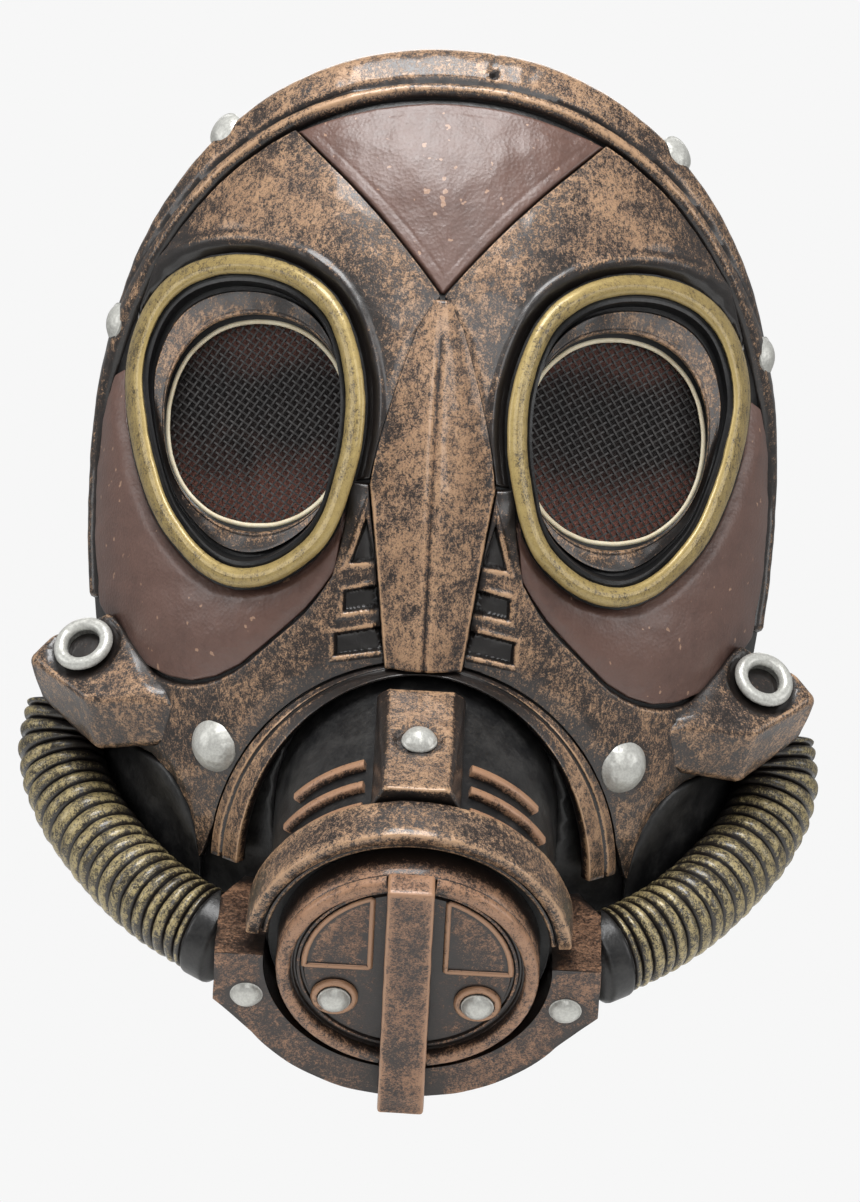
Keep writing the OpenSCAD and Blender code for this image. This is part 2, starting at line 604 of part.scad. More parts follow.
module eyelet(side) color(silver) mirrored(side) on_ear() rotate_extrude($fn = 48)
  difference() {
    union() {
      translate([eyelet_bore / 2, -eyelet_l + 2 + glue]) square([(eyelet_d - 5 - eyelet_bore) / 2, eyelet_l]);
      intersection() {
        translate([(eyelet_bore + eyelet_d) / 4, 1]) circle(d = (eyelet_d - eyelet_bore) / 2 + 1, $fn = 32);
        translate([eyelet_bore / 2, 1]) square([(eyelet_d - eyelet_bore) / 2, 4]);
      }
    }
    translate([-1, -40]) square([1, 80]);
  }

// Middle line of the left hose, from the ear block down to the jaw, as [x, z, share of the form's depth
// in front of its base, distance behind the snout's middle]. It leaves the form's tie for the snout's.
hose_points = [[107, -72, 0.44286, 109.093], [108.6, -86, 0.47143, 105.093], [102.6, -101, 0.54286, 95.093],
  [91.5, -114, 0.65, 80.093], [80, -124, 0.75, 66.093], [68.5, -131, 0.81429, 57.093], [60, -135, 0.84286, 53.093]];
hose_route = [for (i = [0 : 6]) let (p = hose_points[i])
  [p[0], blend(temple_y - form_depth * p[2], p[3] + snout_y, pow(i / 6, 3)), p[1]]];
// The hose's own line where the ear block is cut out for it.
hose_top = let (path = curve(hose_route, 22))
  concat([path[0] + 4 * unit(path[0] - path[1])], [for (i = [0 : 6]) path[i]]);
module hose(side) color(brass) mirrored(side) {
  path = curve(hose_route, 22);
  difference() {
    rod(path, hose_d / 2, 14);
    rod(concat([2 * path[0] - path[1]], path, [2 * path[22] - path[21]]), hose_bore / 2, 10);
  }
}

module hose_cuffs() color(black) for (side = [0, 1]) mirrored(side == 1) {
  path = curve(hose_route, 22);
  d = unit(path[22] - path[21]);
  a = path[22] + d * 0.3;
  difference() {
    rod([a, a + d * 9], hose_d / 2 + 0.8, 20);
    rod([a - d, a + d * 12], hose_bore / 2, 12);
    jaw_keep_out();
  }
}
module jaw_keep_out() translate([-jaw_half_w - glue, -200, -220]) cube([2 * jaw_half_w + 2 * glue, 400, 400]);

// ---- Rivets ------------------------------------------------------------------------------

bridge_rivet_d = 10.4;
bridge_rivet_at = 24;    // how far in front of the block's back end
// The head of a domed rivet.
module rivet(d, high) {
  r = (d * d / 4 + high * high) / (2 * high);
  intersection() {
    translate([0, 0, high - r]) sphere(r = r, $fn = 48);
    cylinder(d = d, h = high, $fn = 48);
  }
}

crown_rivet_at = [[66, 103.4], [96, 45.6]];
module crown_rivets() color(silver) for (side = [0, 1], p = crown_rivet_at) mirrored(side == 1)
  stand_on_form(p, band_t + glue) rivet(crown_rivet_d, 3.4);
module cheek_rivets() color(silver) for (side = [0, 1]) mirrored(side == 1)
  stand_on_form([59.5, -79], plate_t + glue) rivet(cheek_rivet_d, 5.2);
module bridge_rivet() color(silver) in_snout()
  translate([0, barrel_r + block_back_h, block_back + 1]) rotate([-90 - block_slope, 0, 0])
    translate([0, -bridge_rivet_at, 2 * glue]) rivet(bridge_rivet_d, 4);
module jaw_rivets() color(silver) in_snout() for (side = [-1, 1])
  translate([side * 46.8, -14.5, -2 + glue]) rivet(snout_rivet_d, 3.4);
module cap_rivets() color(silver) in_snout() for (side = [-1, 1])
  translate([side * cap_rivet_at[0], cap_rivet_at[1], -0.1 + 2 * glue]) rivet(snout_rivet_d, 3.4);

// ---- Head strap --------------------------------------------------------------------------

post_at = [0, -18, 45.6];
post_r = 3.5;
post_head = 2.2;         // how much wider a post's head is than the post
loop_y = 30;             // middle of the strap's round part, behind the temples
layer_gap = 0.25;        // gap between the two layers where the straps overlap
inner_r = strap_r - strap_t - layer_gap;
lap = 17;                // angle by which each strap runs past the middle

// The posts inside the temples that the strap turns on. Each has a head that keeps the strap on.
module strap_posts() color(silver) for (side = [0, 1]) mirrored(side == 1) {
  r = side == 1 ? inner_r : strap_r;
  translate([r - layer_gap, post_at[1], post_at[2]]) rotate([0, 90, 0]) intersection() {
    cylinder(r = post_r, h = 4, $fn = 48);
    cube(40, center = true);
  }
  translate([r - layer_gap - 1.8, post_at[1], post_at[2]]) rotate([0, 90, 0])
    cylinder(r = post_r + post_head, h = 1.8, $fn = 48);
  intersection() {
    translate([r + strap_t + layer_gap, post_at[1], post_at[2]]) rotate([0, 90, 0])
      cylinder(r = post_r + post_head, h = 20, $fn = 48);
    stand_on_form([wall_x(post_at[1], post_at[2]), post_at[2]], -skin - glue - 0.3)
      translate([-20, -20, -40]) cube(40);
  }
}
// Distance of the form from the middle at a given depth and height.
function wall_x(y, z) = form_half_w
  * pow(1 - pow((temple_y - y) / form_depth, 2) - pow(z / (z > 0 ? form_top : form_bottom), 2), 1 / form_square);

// One half of the strap: a tab on its post, a straight side and a part of the round loop.
module strap(r) difference() {
  union() {
    translate([0, loop_y, post_at[2]]) part_ring(r, r + strap_t, -strap_w / 2, strap_w / 2, 0, 90 + lap);
    translate([r, post_at[1], post_at[2] - strap_w / 2]) cube([strap_t, loop_y - post_at[1], strap_w]);
    translate([r, post_at[1], post_at[2]]) rotate([0, 90, 0]) cylinder(d = strap_w, h = strap_t, $fn = 64);
  }
  translate([r - 5, post_at[1], post_at[2]]) rotate([0, 90, 0]) cylinder(r = post_r + running, h = 20, $fn = 48);
}
module strap_left() color(elastic) strap(strap_r);
module strap_right() color(elastic) mirrored(true) strap(inner_r);

// The flat loop that holds the two halves together. It slides round the strap.
keeper_wall = 1.6;
keeper_half_a = 5;       // half its length, as an angle round the loop
module strap_keeper() color(black) translate([0, loop_y, post_at[2]]) {
  tall = strap_w / 2 + running * 4;
  inside = inner_r - layer_gap;
  outside = strap_r + strap_t + layer_gap;
  difference() {
    part_ring(inside - keeper_wall, outside + keeper_wall, -tall - 2.5, tall + 2.5, 90 - keeper_half_a, 90 + keeper_half_a);
    part_ring(inside, outside, -tall, tall, 60, 120);
  }
}

// ---- Build -------------------------------------------------------------------------------

face_shell();
crown_band();
forehead_panel();
brow_plate(false);  // brow_plate_left
brow_plate(true);  // brow_plate_right
cheek_panel(false);  // cheek_panel_left
cheek_panel(true);  // cheek_panel_right
cheek_bracket(false);  // cheek_bracket_left
cheek_bracket(true);  // cheek_bracket_right
ear_block(false);  // ear_block_left
ear_block(true);  // ear_block_right
eyelet(false);  // eyelet_left
eyelet(true);  // eyelet_right
hose_web(false);  // hose_web_left
hose_web(true);  // hose_web_right
nose_ridge();
vent_inlays(false);  // vent_inlays_left
vent_inlays(true);  // vent_inlays_right
goggle_rim(false);  // goggle_rim_left
goggle_rim(true);  // goggle_rim_right
goggle_cup(false);  // goggle_cup_left
goggle_cup(true);  // goggle_cup_right
goggle_bezel(false);  // goggle_bezel_left
goggle_bezel(true);  // goggle_bezel_right
mesh_edge(false);  // mesh_edge_left
mesh_edge(true);  // mesh_edge_right
mesh_screen(false);  // mesh_screen_left
mesh_screen(true);  // mesh_screen_right
mesh_lining(false);  // mesh_lining_left
mesh_lining(true);  // mesh_lining_right
snout_arch();
snout_barrel();
barrel_slats();
bridge_block();
brow_band();
jaw_housing();
cap_disc();
cap_rim();
cap_windows();
cap_bar();
cap_washers();
hose(false);  // hose_left
hose(true);  // hose_right
hose_cuffs();
crown_rivets();
cheek_rivets();
bridge_rivet();
jaw_rivets();
cap_rivets();
strap_posts();
strap_left();
strap_right();
strap_keeper();
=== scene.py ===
"""Looks of a moulded latex gas-mask costume mask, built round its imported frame.

Shapes are worked out in millimetres, in the part's own frame: +Z up, the mask faces -Y and +X is the
wearer's left. A mesh is brought to metres when it becomes an object.
"""

import logging
import math
from dataclasses import dataclass, field
from enum import Enum
from typing import Callable, Sequence

import bmesh
import bpy
from mathutils import Matrix, Vector, noise
from mathutils.bvhtree import BVHTree


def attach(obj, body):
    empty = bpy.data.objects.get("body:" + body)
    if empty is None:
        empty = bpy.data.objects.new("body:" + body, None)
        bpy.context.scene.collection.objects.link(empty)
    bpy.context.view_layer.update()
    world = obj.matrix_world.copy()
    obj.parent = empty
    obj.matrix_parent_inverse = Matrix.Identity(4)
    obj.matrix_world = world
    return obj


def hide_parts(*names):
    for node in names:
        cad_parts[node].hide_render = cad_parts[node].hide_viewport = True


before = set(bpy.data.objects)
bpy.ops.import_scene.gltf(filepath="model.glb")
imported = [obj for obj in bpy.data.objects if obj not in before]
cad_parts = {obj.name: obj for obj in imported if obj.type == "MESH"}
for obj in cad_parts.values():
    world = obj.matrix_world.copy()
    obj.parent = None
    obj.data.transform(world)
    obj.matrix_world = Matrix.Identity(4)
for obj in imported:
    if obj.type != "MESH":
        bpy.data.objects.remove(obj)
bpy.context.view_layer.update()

LOG = logging.getLogger("mask")
MM = 0.001
Point = tuple[float, float]
Place = Callable[[float, float], Vector]
Turn = Callable[[float], float]


class Side(Enum):
    """Which half of the mask a piece is on, with the sign of its X."""

    LEFT = 1
    RIGHT = -1

    @property
    def tag(self) -> str:
        """The end of the piece's name."""
        return self.name.lower()


class Body(Enum):
    """The bodies that pieces ride on."""

    MASK = "mask"
    STRAP = "strap"
    KEEPER = "keeper"


# ---- Numbers and curves ------------------------------------------------------------------


def clamp(value: float, low: float = 0.0, high: float = 1.0) -> float:
    """Keeps a value between two limits."""
    return max(low, min(high, value))


def ease(low: float, high: float, value: float) -> float:
    """Rises smoothly from 0 at low to 1 at high."""
    share = clamp((value - low) / (high - low))
    return share * share * (3 - 2 * share)


def mix(a: float, b: float, share: float) -> float:
    """Goes straight from a to b."""
    return a + (b - a) * share


def roll(distance: float, radius: float) -> float:
    """Height share of a rounded edge at a distance inwards from it."""
    return math.sqrt(max(0.0, 1 - (1 - clamp(distance / radius)) ** 2))


def bump(value: float, centre: float, half_width: float) -> float:
    """A smooth hump of height 1 at the centre that ends at half_width."""
    return 1 - ease(0, half_width, abs(value - centre))


def on_curve(points: Sequence[Sequence[float]], share: float) -> Vector:
    """A point of the smooth open curve through points.

    Args:
        points: Two or more points of the same length.
        share: Where along the curve, from 0 to 1.

    Returns:
        The point, with as many coordinates as the given ones.
    """
    last = len(points) - 1
    place = clamp(share) * last
    i = min(int(place), last - 1)
    t = place - i
    a, b, c, d = (Vector(points[min(max(k, 0), last)]) for k in (i - 1, i, i + 1, i + 2))
    return 0.5 * (2 * b + (c - a) * t + (2 * a - 5 * b + 4 * c - d) * t * t + (3 * b - a - 3 * c + d) * t**3)


def round_value(values: Sequence[float], degrees: float) -> float:
    """A value round a closed list that holds one entry every equal angle."""
    count = len(values)
    place = (degrees % 360) / 360 * count
    i = int(place)
    t = place - i
    a, b, c, d = (values[(i + k) % count] for k in (-1, 0, 1, 2))
    return 0.5 * (2 * b + (c - a) * t + (2 * a - 5 * b + 4 * c - d) * t * t + (3 * b - a - 3 * c + d) * t**3)


def grain(x: float, y: float, z: float, size: float) -> float:
    """Smooth unevenness from -1 to 1 whose lumps are size millimetres across."""
    return noise.noise(Vector((x, y, z)) / size)


# ---- The mask's form ---------------------------------------------------------------------


@dataclass(frozen=True)
class FaceForm:
    """The dome that every plate lies on, in millimetres."""

    rim_half_w: float = 103.5
    rim_top: float = 131.5
    rim_bottom: float = 182.0
    rim_square: float = 2.15
    spare: float = 7.5
    top: float = 185.0
    bottom: float = 230.0
    depth: float = 140.0
    square: float = 2.6
    band_w: float = 15.0

    @property
    def half_w(self) -> float:
        """Half the width that the dome would have at its own base."""
        return self.rim_half_w + self.spare

    @property
    def temple_y(self) -> float:
        """Where the dome's base lies, so that the temples are at y = 0."""
        return self.depth * math.sqrt(1 - (self.rim_half_w / self.half_w) ** self.square)

    def _share(self, x: float, z: float) -> float:
        """How far the form is from its base, squared, as a share of its depth."""
        high = self.top if z > 0 else self.bottom
        return max(0.003, 1 - (abs(x) / self.half_w) ** self.square - (z / high) ** 2)

    def y(self, x: float, z: float) -> float:
        """Depth of the form behind a point seen from the front."""
        return self.temple_y - self.depth * math.sqrt(self._share(x, z))

    def normal(self, x: float, z: float) -> Vector:
        """Outward direction of the form."""
        high = self.top if z > 0 else self.bottom
        steep = self.depth / math.sqrt(self._share(x, z))
        across = steep * self.square * (abs(x) / self.half_w) ** (self.square - 1) / (2 * self.half_w)
        return Vector((math.copysign(across, x), -1, steep * z / (high * high))).normalized()

    def lift(self, x: float, z: float, height: float) -> Vector:
        """A point at a height above the form."""
        return Vector((x, self.y(x, z), z)) + height * self.normal(x, z)

    def rim(self, degrees: float, share: float = 1.0) -> Point:
        """A point of the rim's outline, or of the same outline shrunk by a share."""
        c, s = math.cos(math.radians(degrees)), math.sin(math.radians(degrees))
        high, power = (self.rim_top, self.rim_square) if s > 0 else (self.rim_bottom, 2.0)
        reach = share / ((abs(c) / self.rim_half_w) ** power + (abs(s) / high) ** power) ** (1 / power)
        return reach * c, reach * s

    def band_share(self, degrees: float) -> float:
        """Where the crown band's inner edge is, as a share of the rim's outline."""
        lift = max(0.0, math.sin(math.radians(degrees))) ** 1.4
        return 1 - self.band_w / self.rim_top * (0.18 + 0.82 * lift)

    def inside_band(self, x: float, z: float) -> float:
        """Distance from a point outwards to the crown band's inner edge."""
        degrees = math.degrees(math.atan2(z, x))
        edge = self.rim(degrees, self.band_share(degrees))
        return math.hypot(*edge) - math.hypot(x, z)


FORM = FaceForm()


@dataclass(frozen=True)
class Goggle:
    """Places of a goggle's rim, cup and mesh on the left side, in millimetres."""

    x: float = 57.0
    z: float = 18.0
    radii: tuple[float, ...] = (33, 39, 46, 46, 43, 36, 33, 35, 43, 47, 39, 33)
    slope_x: float = 0.68
    slope_z: float = 0.115
    stand: float = 3.0
    bead: float = 6.0
    inset: float = 4.6
    mesh_w: float = 54.4
    mesh_h: float = 60.6
    mesh_square: float = 2.15
    mesh_slope: float = 0.55
    mesh_depth: float = 12.0

    def ring(self, degrees: float, inset: float = 0.0) -> Point:
        """A point of the rim's middle line, moved inwards by inset."""
        reach = round_value(self.radii, degrees) - inset
        return self.x + reach * math.cos(math.radians(degrees)), self.z + reach * math.sin(math.radians(degrees))

    def ring_y(self, x: float, z: float) -> float:
        """Depth of the rim at a point seen from the front."""
        flat = FORM.y(self.x, self.z) + 1 + self.slope_x * (x - self.x) + self.slope_z * (z - self.z)
        return (flat + FORM.y(x, z) - self.stand) / 2

    def outside(self, x: float, z: float) -> float:
        """Distance from a point inwards to the rim's outer edge, negative inside it."""
        dx, dz = abs(x) - self.x, z - self.z
        return math.hypot(dx, dz) - round_value(self.radii, math.degrees(math.atan2(dz, dx))) - self.bead / 2

    @property
    def mesh_c(self) -> Point:
        """Middle of the mesh opening."""
        return self.x - 4, self.z - 1

    def mesh_reach(self, degrees: float) -> float:
        """Distance from the mesh's middle to its edge."""
        c, s = math.cos(math.radians(degrees)), math.sin(math.radians(degrees))
        p = self.mesh_square
        return ((abs(c) / (self.mesh_w / 2)) ** p + (abs(s) / (self.mesh_h / 2)) ** p) ** (-1 / p)

    def mesh(self, degrees: float, grow: float = 0.0) -> Point:
        """A point of the mesh opening's edge, moved outwards by grow."""
        reach = self.mesh_reach(degrees) + grow
        cx, cz = self.mesh_c
        return cx + reach * math.cos(math.radians(degrees)), cz + reach * math.sin(math.radians(degrees))

    def mesh_y(self, x: float, z: float) -> float:
        """Depth of the mesh's plane at a point seen from the front."""
        cx, _ = self.mesh_c
        return FORM.y(self.x, self.z) + self.mesh_depth + self.mesh_slope * (x - cx) + 0.05 * (z - self.mesh_c[1])

    def cup(self, degrees: float, share: float, lift: float = 0.0) -> Vector:
        """A point of the cup's floor, from the rim at share 0 to the mesh at share 1."""
        (ax, az), (bx, bz) = self.ring(degrees, self.inset), self.mesh(degrees, 0.6)
        x, z = mix(ax, bx, share), mix(az, bz, share)
        fall = 0.8 * share / 0.15 if share < 0.15 else 0.8 + 0.2 * (share - 0.15) / 0.85
        return Vector((x, mix(self.ring_y(x, z) + 0.5, self.mesh_y(x, z), fall) - lift, z))


GOGGLE = Goggle()


@dataclass(frozen=True)
class Snout:
    """The snout's own frame and sizes, in millimetres: Z out through the cap, Y up along the cap."""

    tilt: float = 42.0
    drop: float = 141.0
    reach: float = 114.0
    barrel_r: float = 42.0
    visor_t: float = 6.0
    visor_front: float = -8.0
    visor_l: float = 15.0
    cap_r: float = 38.5
    bar_w: float = 13.6
    bar_t: float = 9.0
    bar_l: float = 94.0
    bar_top: float = 39.5
    jaw_half_w: float = 56.5
    jaw_r: float = 54.0
    jaw_top: float = 2.0
    jaw_front: float = -2.0
    jaw_back: float = -66.0
    ledge_drop: float = 24.0
    arch_c: float = -111.0
    arch_out: float = 59.0
    face: float = -1.35

    @property
    def place(self) -> Matrix:
        """The matrix that brings the snout's own frame to the mask's."""
        return Matrix.Translation((0, -self.reach, -self.drop)) @ Matrix.Rotation(
            math.radians(90 + self.tilt), 4, "X"
        )

    def arch_outer(self, degrees: float) -> Point:
        """A point of the arch's outer edge, as seen from the front."""
        c, s = math.cos(math.radians(degrees)), math.sin(math.radians(degrees))
        return self.arch_out * c, self.arch_c + (self.arch_out + 1) * s

    def arch_inner(self, degrees: float) -> Point:
        """A point of the arch's lip, as seen from the front."""
        return 47.5 * math.cos(math.radians(degrees)), self.arch_c + 57 * math.sin(math.radians(degrees))


SNOUT = Snout()


# ---- Finishes ----------------------------------------------------------------------------

Colour = tuple[float, float, float]


class Paint:
    """Builds one material's nodes. Patterns lie on Object coordinates, in metres."""

    def __init__(self, name: str) -> None:
        """Starts an empty material.

        Args:
            name: The material's name.
        """
        self.material = bpy.data.materials.new(name)
        self.material.use_nodes = True
        self.tree = self.material.node_tree
        self.tree.nodes.clear()
        self.out = self.add("ShaderNodeOutputMaterial")
        self.shader = self.add("ShaderNodeBsdfPrincipled")
        self.tree.links.new(self.shader.outputs[0], self.out.inputs[0])
        self.coords = self.add("ShaderNodeTexCoord").outputs["Object"]

    def add(self, kind: str, **settings: object) -> bpy.types.Node:
        """Adds a node and sets its properties."""
        node = self.tree.nodes.new(kind)
        for key, value in settings.items():
            setattr(node, key, value)
        return node

    def feed(self, socket: bpy.types.NodeSocket, value: object) -> None:
        """Links an output to a socket, or sets the socket's own value."""
        if isinstance(value, bpy.types.NodeSocket):
            self.tree.links.new(value, socket)
        elif isinstance(value, tuple) and len(value) == 3 and socket.type == "RGBA":
            socket.default_value = (*value, 1.0)
        else:
            socket.default_value = value

    def stretched(self, scale: Colour, turn: Colour = (0, 0, 0)) -> bpy.types.NodeSocket:
        """The object's coordinates, scaled and turned, so that a pattern on them is drawn out."""
        node = self.add("ShaderNodeMapping")
        self.feed(node.inputs["Vector"], self.coords)
        node.inputs["Scale"].default_value = scale
        node.inputs["Rotation"].default_value = turn
        return node.outputs[0]

    def noise(self, size_mm: float, detail: float = 4.0, rough: float = 0.55, warp: float = 0.0,
              at: bpy.types.NodeSocket | None = None) -> bpy.types.NodeSocket:
        """Cloudy noise from 0 to 1 whose lumps are about size_mm across."""
        node = self.add("ShaderNodeTexNoise")
        self.feed(node.inputs["Vector"], at or self.coords)
        node.inputs["Scale"].default_value = 1 / (size_mm * MM)
        node.inputs["Detail"].default_value = detail
        node.inputs["Roughness"].default_value = rough
        node.inputs["Distortion"].default_value = warp
        return node.outputs[0]

    def cells(self, size_mm: float, feature: str = "F1") -> bpy.types.NodeSocket:
        """Distance to the middles of irregular cells of size_mm."""
        node = self.add("ShaderNodeTexVoronoi", feature=feature)
        self.feed(node.inputs["Vector"], self.coords)
        node.inputs["Scale"].default_value = 1 / (size_mm * MM)
        return node.outputs["Distance"]

    def attribute(self, name: str) -> bpy.types.NodeSocket:
        """A number stored on the mesh's points."""
        return self.add("ShaderNodeAttribute", attribute_name=name).outputs["Fac"]

    def math(self, operation: str, a: object, b: object = 0.0) -> bpy.types.NodeSocket:
        """One sum, product or other operation."""
        node = self.add("ShaderNodeMath", operation=operation)
        self.feed(node.inputs[0], a)
        self.feed(node.inputs[1], b)
        return node.outputs[0]

    def total(self, *terms: tuple[object, float]) -> bpy.types.NodeSocket:
        """The sum of values, each times its own weight."""
        result: object = 0.0
        for value, weight in terms:
            node = self.add("ShaderNodeMath", operation="MULTIPLY_ADD")
            self.feed(node.inputs[0], value)
            self.feed(node.inputs[1], weight)
            self.feed(node.inputs[2], result)
            result = node.outputs[0]
        return result

    def between(self, value: object, low: float, high: float, to_low: float = 0.0,
                to_high: float = 1.0) -> bpy.types.NodeSocket:
        """Brings a value from one range smoothly to another, clamped."""
        node = self.add("ShaderNodeMapRange", interpolation_type="SMOOTHSTEP")
        for key, number in zip(("Value", "From Min", "From Max", "To Min", "To Max"),
                               (value, low, high, to_low, to_high)):
            self.feed(node.inputs[key], number)
        return node.outputs[0]

    def blend(self, share: object, a: object, b: object) -> bpy.types.NodeSocket:
        """Mixes two colours."""
        node = self.add("ShaderNodeMix", data_type="RGBA")
        self.feed(node.inputs["Factor"], share)
        self.feed(node.inputs[6], a)
        self.feed(node.inputs[7], b)
        return node.outputs[2]

    def relief(self, height: object, depth_mm: float, under: object = None) -> bpy.types.NodeSocket:
        """A bump whose full range of height is depth_mm."""
        node = self.add("ShaderNodeBump")
        node.inputs["Strength"].default_value = 1.0
        node.inputs["Distance"].default_value = depth_mm * MM
        self.feed(node.inputs["Height"], height)
        if under is not None:
            self.feed(node.inputs["Normal"], under)
        return node.outputs[0]

    def finish(self, **sockets: object) -> bpy.types.Material:
        """Sets the shader's sockets by name and returns the material."""
        for key, value in sockets.items():
            self.feed(self.shader.inputs[key.replace("_", " ").title().replace("Ior", "IOR")], value)
        return self.material


@dataclass(frozen=True)
class DryBrushed:
    """Metallic paint dragged over black latex: it misses hollows and catches on what stands out."""

    name: str
    dark: Colour
    light: Colour
    base: Colour = (0.011, 0.0085, 0.0075)
    stain: Colour = (0.050, 0.028, 0.019)
    cover: float = 0.0
    metal: float = 0.15
    rough: float = 0.40
    coat: float = 0.5
    sparkle: float = 1.0

    def material(self) -> bpy.types.Material:
        """Builds the nodes.

        Returns:
            The material.
        """
        p = Paint(self.name)
        strokes = p.stretched((1.0, 1.0, 0.7), (0.5, 0.2, 0.6))
        fine = p.noise(1.25, 6, 0.7, 0.3, strokes)
        flecks = p.noise(0.5, 4, 0.7)
        patches = p.noise(6.5, 5, 0.65, 0.5)
        clouds = p.noise(24, 3, 0.5)
        opened, edge, brush = p.attribute("open"), p.attribute("edge"), p.attribute("brush")
        stroke = p.total((fine, 2.2), (flecks, 2.1), (patches, 1.2), (clouds, 0.9))
        # The per-point paint level also holds painted light and shade on the snout's visor, jaw and cap.
        caught = p.total((stroke, 0.9), (opened, 1.5), (edge, 1.1), (brush, 1.0), (1.0, self.cover - 5.26))
        share = p.between(caught, -0.16, 0.42)
        film = p.between(p.total((caught, 1.0), (flecks, 0.8)), -0.2, 0.9)
        tone = p.between(p.total((patches, 0.55), (flecks, 0.6), (edge, 0.6), (fine, 0.3)), 0.45, 1.05)
        metal = p.blend(tone, self.dark, self.light)
        surface_colour = p.blend(share, p.blend(film, self.base, self.stain), metal)
        rough = p.total((fine, 0.22), (share, 0.06), (1.0, self.rough - 0.13))
        skin = p.relief(p.total((p.noise(2.6, 4), 0.6), (flecks, 0.25), (share, 0.22)), 0.24 * self.sparkle)
        return p.finish(base_color=surface_colour, roughness=rough, normal=skin, metallic=p.math("MULTIPLY", share, self.metal),
                        coat_weight=self.coat, coat_roughness=0.14)


@dataclass(frozen=True)
class LeatherLook:
    """Brown paint over latex that was moulded with a fine leather grain."""

    name: str = "leather_look"
    deep: Colour = (0.066, 0.035, 0.028)
    brown: Colour = (0.138, 0.074, 0.057)
    fleck: Colour = (0.43, 0.26, 0.17)

    def material(self) -> bpy.types.Material:
        """Builds the nodes.

        Returns:
            The material.
        """
        p = Paint(self.name)
        clouds, mottle = p.noise(19, 4, 0.6), p.noise(3.2, 4, 0.62)
        opened, brush = p.attribute("open"), p.attribute("brush")
        pores, creases = p.cells(1.15), p.noise(0.8, 4, 0.6)
        tone = p.between(p.total((clouds, 0.7), (mottle, 0.45), (opened, 0.5)), 0.55, 1.25)
        brown = p.blend(tone, self.deep, self.brown)
        spots = p.between(p.total((p.noise(3.0, 2, 0.4), 1.0), (brush, -1.0), (1.0, 1.0)), 0.71, 0.74)
        spotted = p.blend(p.math("MULTIPLY", spots, 0.75), brown, self.fleck)
        shade = p.between(p.total((brush, 1.0), (mottle, 0.35), (opened, 0.9)), 0.62, 1.35)
        surface_colour = p.blend(shade, (0.016, 0.011, 0.010), spotted)
        grain_height = p.total((pores, 0.55), (creases, 0.5), (p.noise(5.5, 3), 0.7))
        rough = p.total((mottle, 0.2), (creases, 0.12), (1.0, 0.24))
        return p.finish(base_color=surface_colour, roughness=rough, normal=p.relief(grain_height, 0.17),
                        coat_weight=0.3, coat_roughness=0.3)


@dataclass(frozen=True)
class BlackLatex:
    """Bare black paint on latex, with a dusty film."""

    name: str = "black_latex"
    black: Colour = (0.0075, 0.0075, 0.008)
    dust: Colour = (0.030, 0.029, 0.028)
    rough: float = 0.36

    def material(self) -> bpy.types.Material:
        """Builds the nodes.

        Returns:
            The material.
        """
        p = Paint(self.name)
        film, fine = p.noise(6.5, 5, 0.65), p.noise(1.1, 4, 0.6)
        dusty = p.between(p.total((film, 1.0), (fine, 0.5), (p.attribute("open"), 0.35)), 0.85, 1.4)
        rough = p.total((film, 0.2), (fine, 0.1), (1.0, self.rough - 0.15))
        skin = p.relief(p.total((film, 0.7), (fine, 0.35)), 0.22)
        return p.finish(base_color=p.blend(dusty, self.black, self.dust), roughness=rough, normal=skin)


@dataclass(frozen=True)
class BareLatex:
    """Unpainted natural latex."""

    name: str = "bare_latex"
    pale: Colour = (0.66, 0.53, 0.33)
    amber: Colour = (0.40, 0.27, 0.13)

    def material(self) -> bpy.types.Material:
        """Builds the nodes.

        Returns:
            The material.
        """
        p = Paint(self.name)
        runs, fine = p.noise(14, 4, 0.6, 0.5, p.stretched((1, 1, 0.4))), p.noise(1.6, 4, 0.6)
        tone = p.between(p.total((runs, 1.0), (fine, 0.3)), 0.35, 0.95)
        height = p.total((p.noise(5, 4), 0.7), (fine, 0.3))
        return p.finish(base_color=p.blend(tone, self.amber, self.pale), roughness=p.total((fine, 0.2), (1.0, 0.42)),
                        normal=p.relief(height, 0.35), subsurface_weight=0.08)


@dataclass(frozen=True)
class SilverPaint:
    """Silver paint on hammered domes and rings, darker where they are enclosed, as at their feet."""

    name: str = "silver_paint"
    silver: Colour = (0.60, 0.60, 0.56)
    grey: Colour = (0.30, 0.295, 0.275)

    def material(self) -> bpy.types.Material:
        """Builds the nodes.

        Returns:
            The material.
        """
        p = Paint(self.name)
        dents, fine = p.noise(2.4, 2, 0.5), p.noise(0.7, 4, 0.6)
        openness = p.between(p.total((p.attribute("open"), 1.3), (fine, 0.6), (dents, 0.3)), 0.75, 1.45)
        silver = p.blend(p.between(fine, 0.35, 0.65), self.grey, self.silver)
        surface_colour = p.blend(openness, (0.055, 0.052, 0.047), p.blend(0.6, silver, self.silver))
        skin = p.relief(p.total((p.cells(2.3, "SMOOTH_F1"), 0.9), (fine, 0.2)), 0.3)
        return p.finish(base_color=surface_colour, roughness=p.total((fine, 0.2), (1.0, 0.27)), normal=skin, metallic=0.35)


@dataclass(frozen=True)
class MeshThread:
    """Black coated thread."""

    name: str = "mesh_thread"
    tint: Colour = (0.020, 0.019, 0.019)

    def material(self) -> bpy.types.Material:
        """Builds the nodes.

        Returns:
            The material.
        """
        p = Paint(self.name)
        fine = p.noise(0.5, 3, 0.6)
        tone = p.blend(p.between(p.noise(9, 3), 0.3, 0.8), self.tint, (0.038, 0.035, 0.034))
        return p.finish(base_color=tone, roughness=p.total((fine, 0.2), (1.0, 0.38)), normal=p.relief(fine, 0.05))


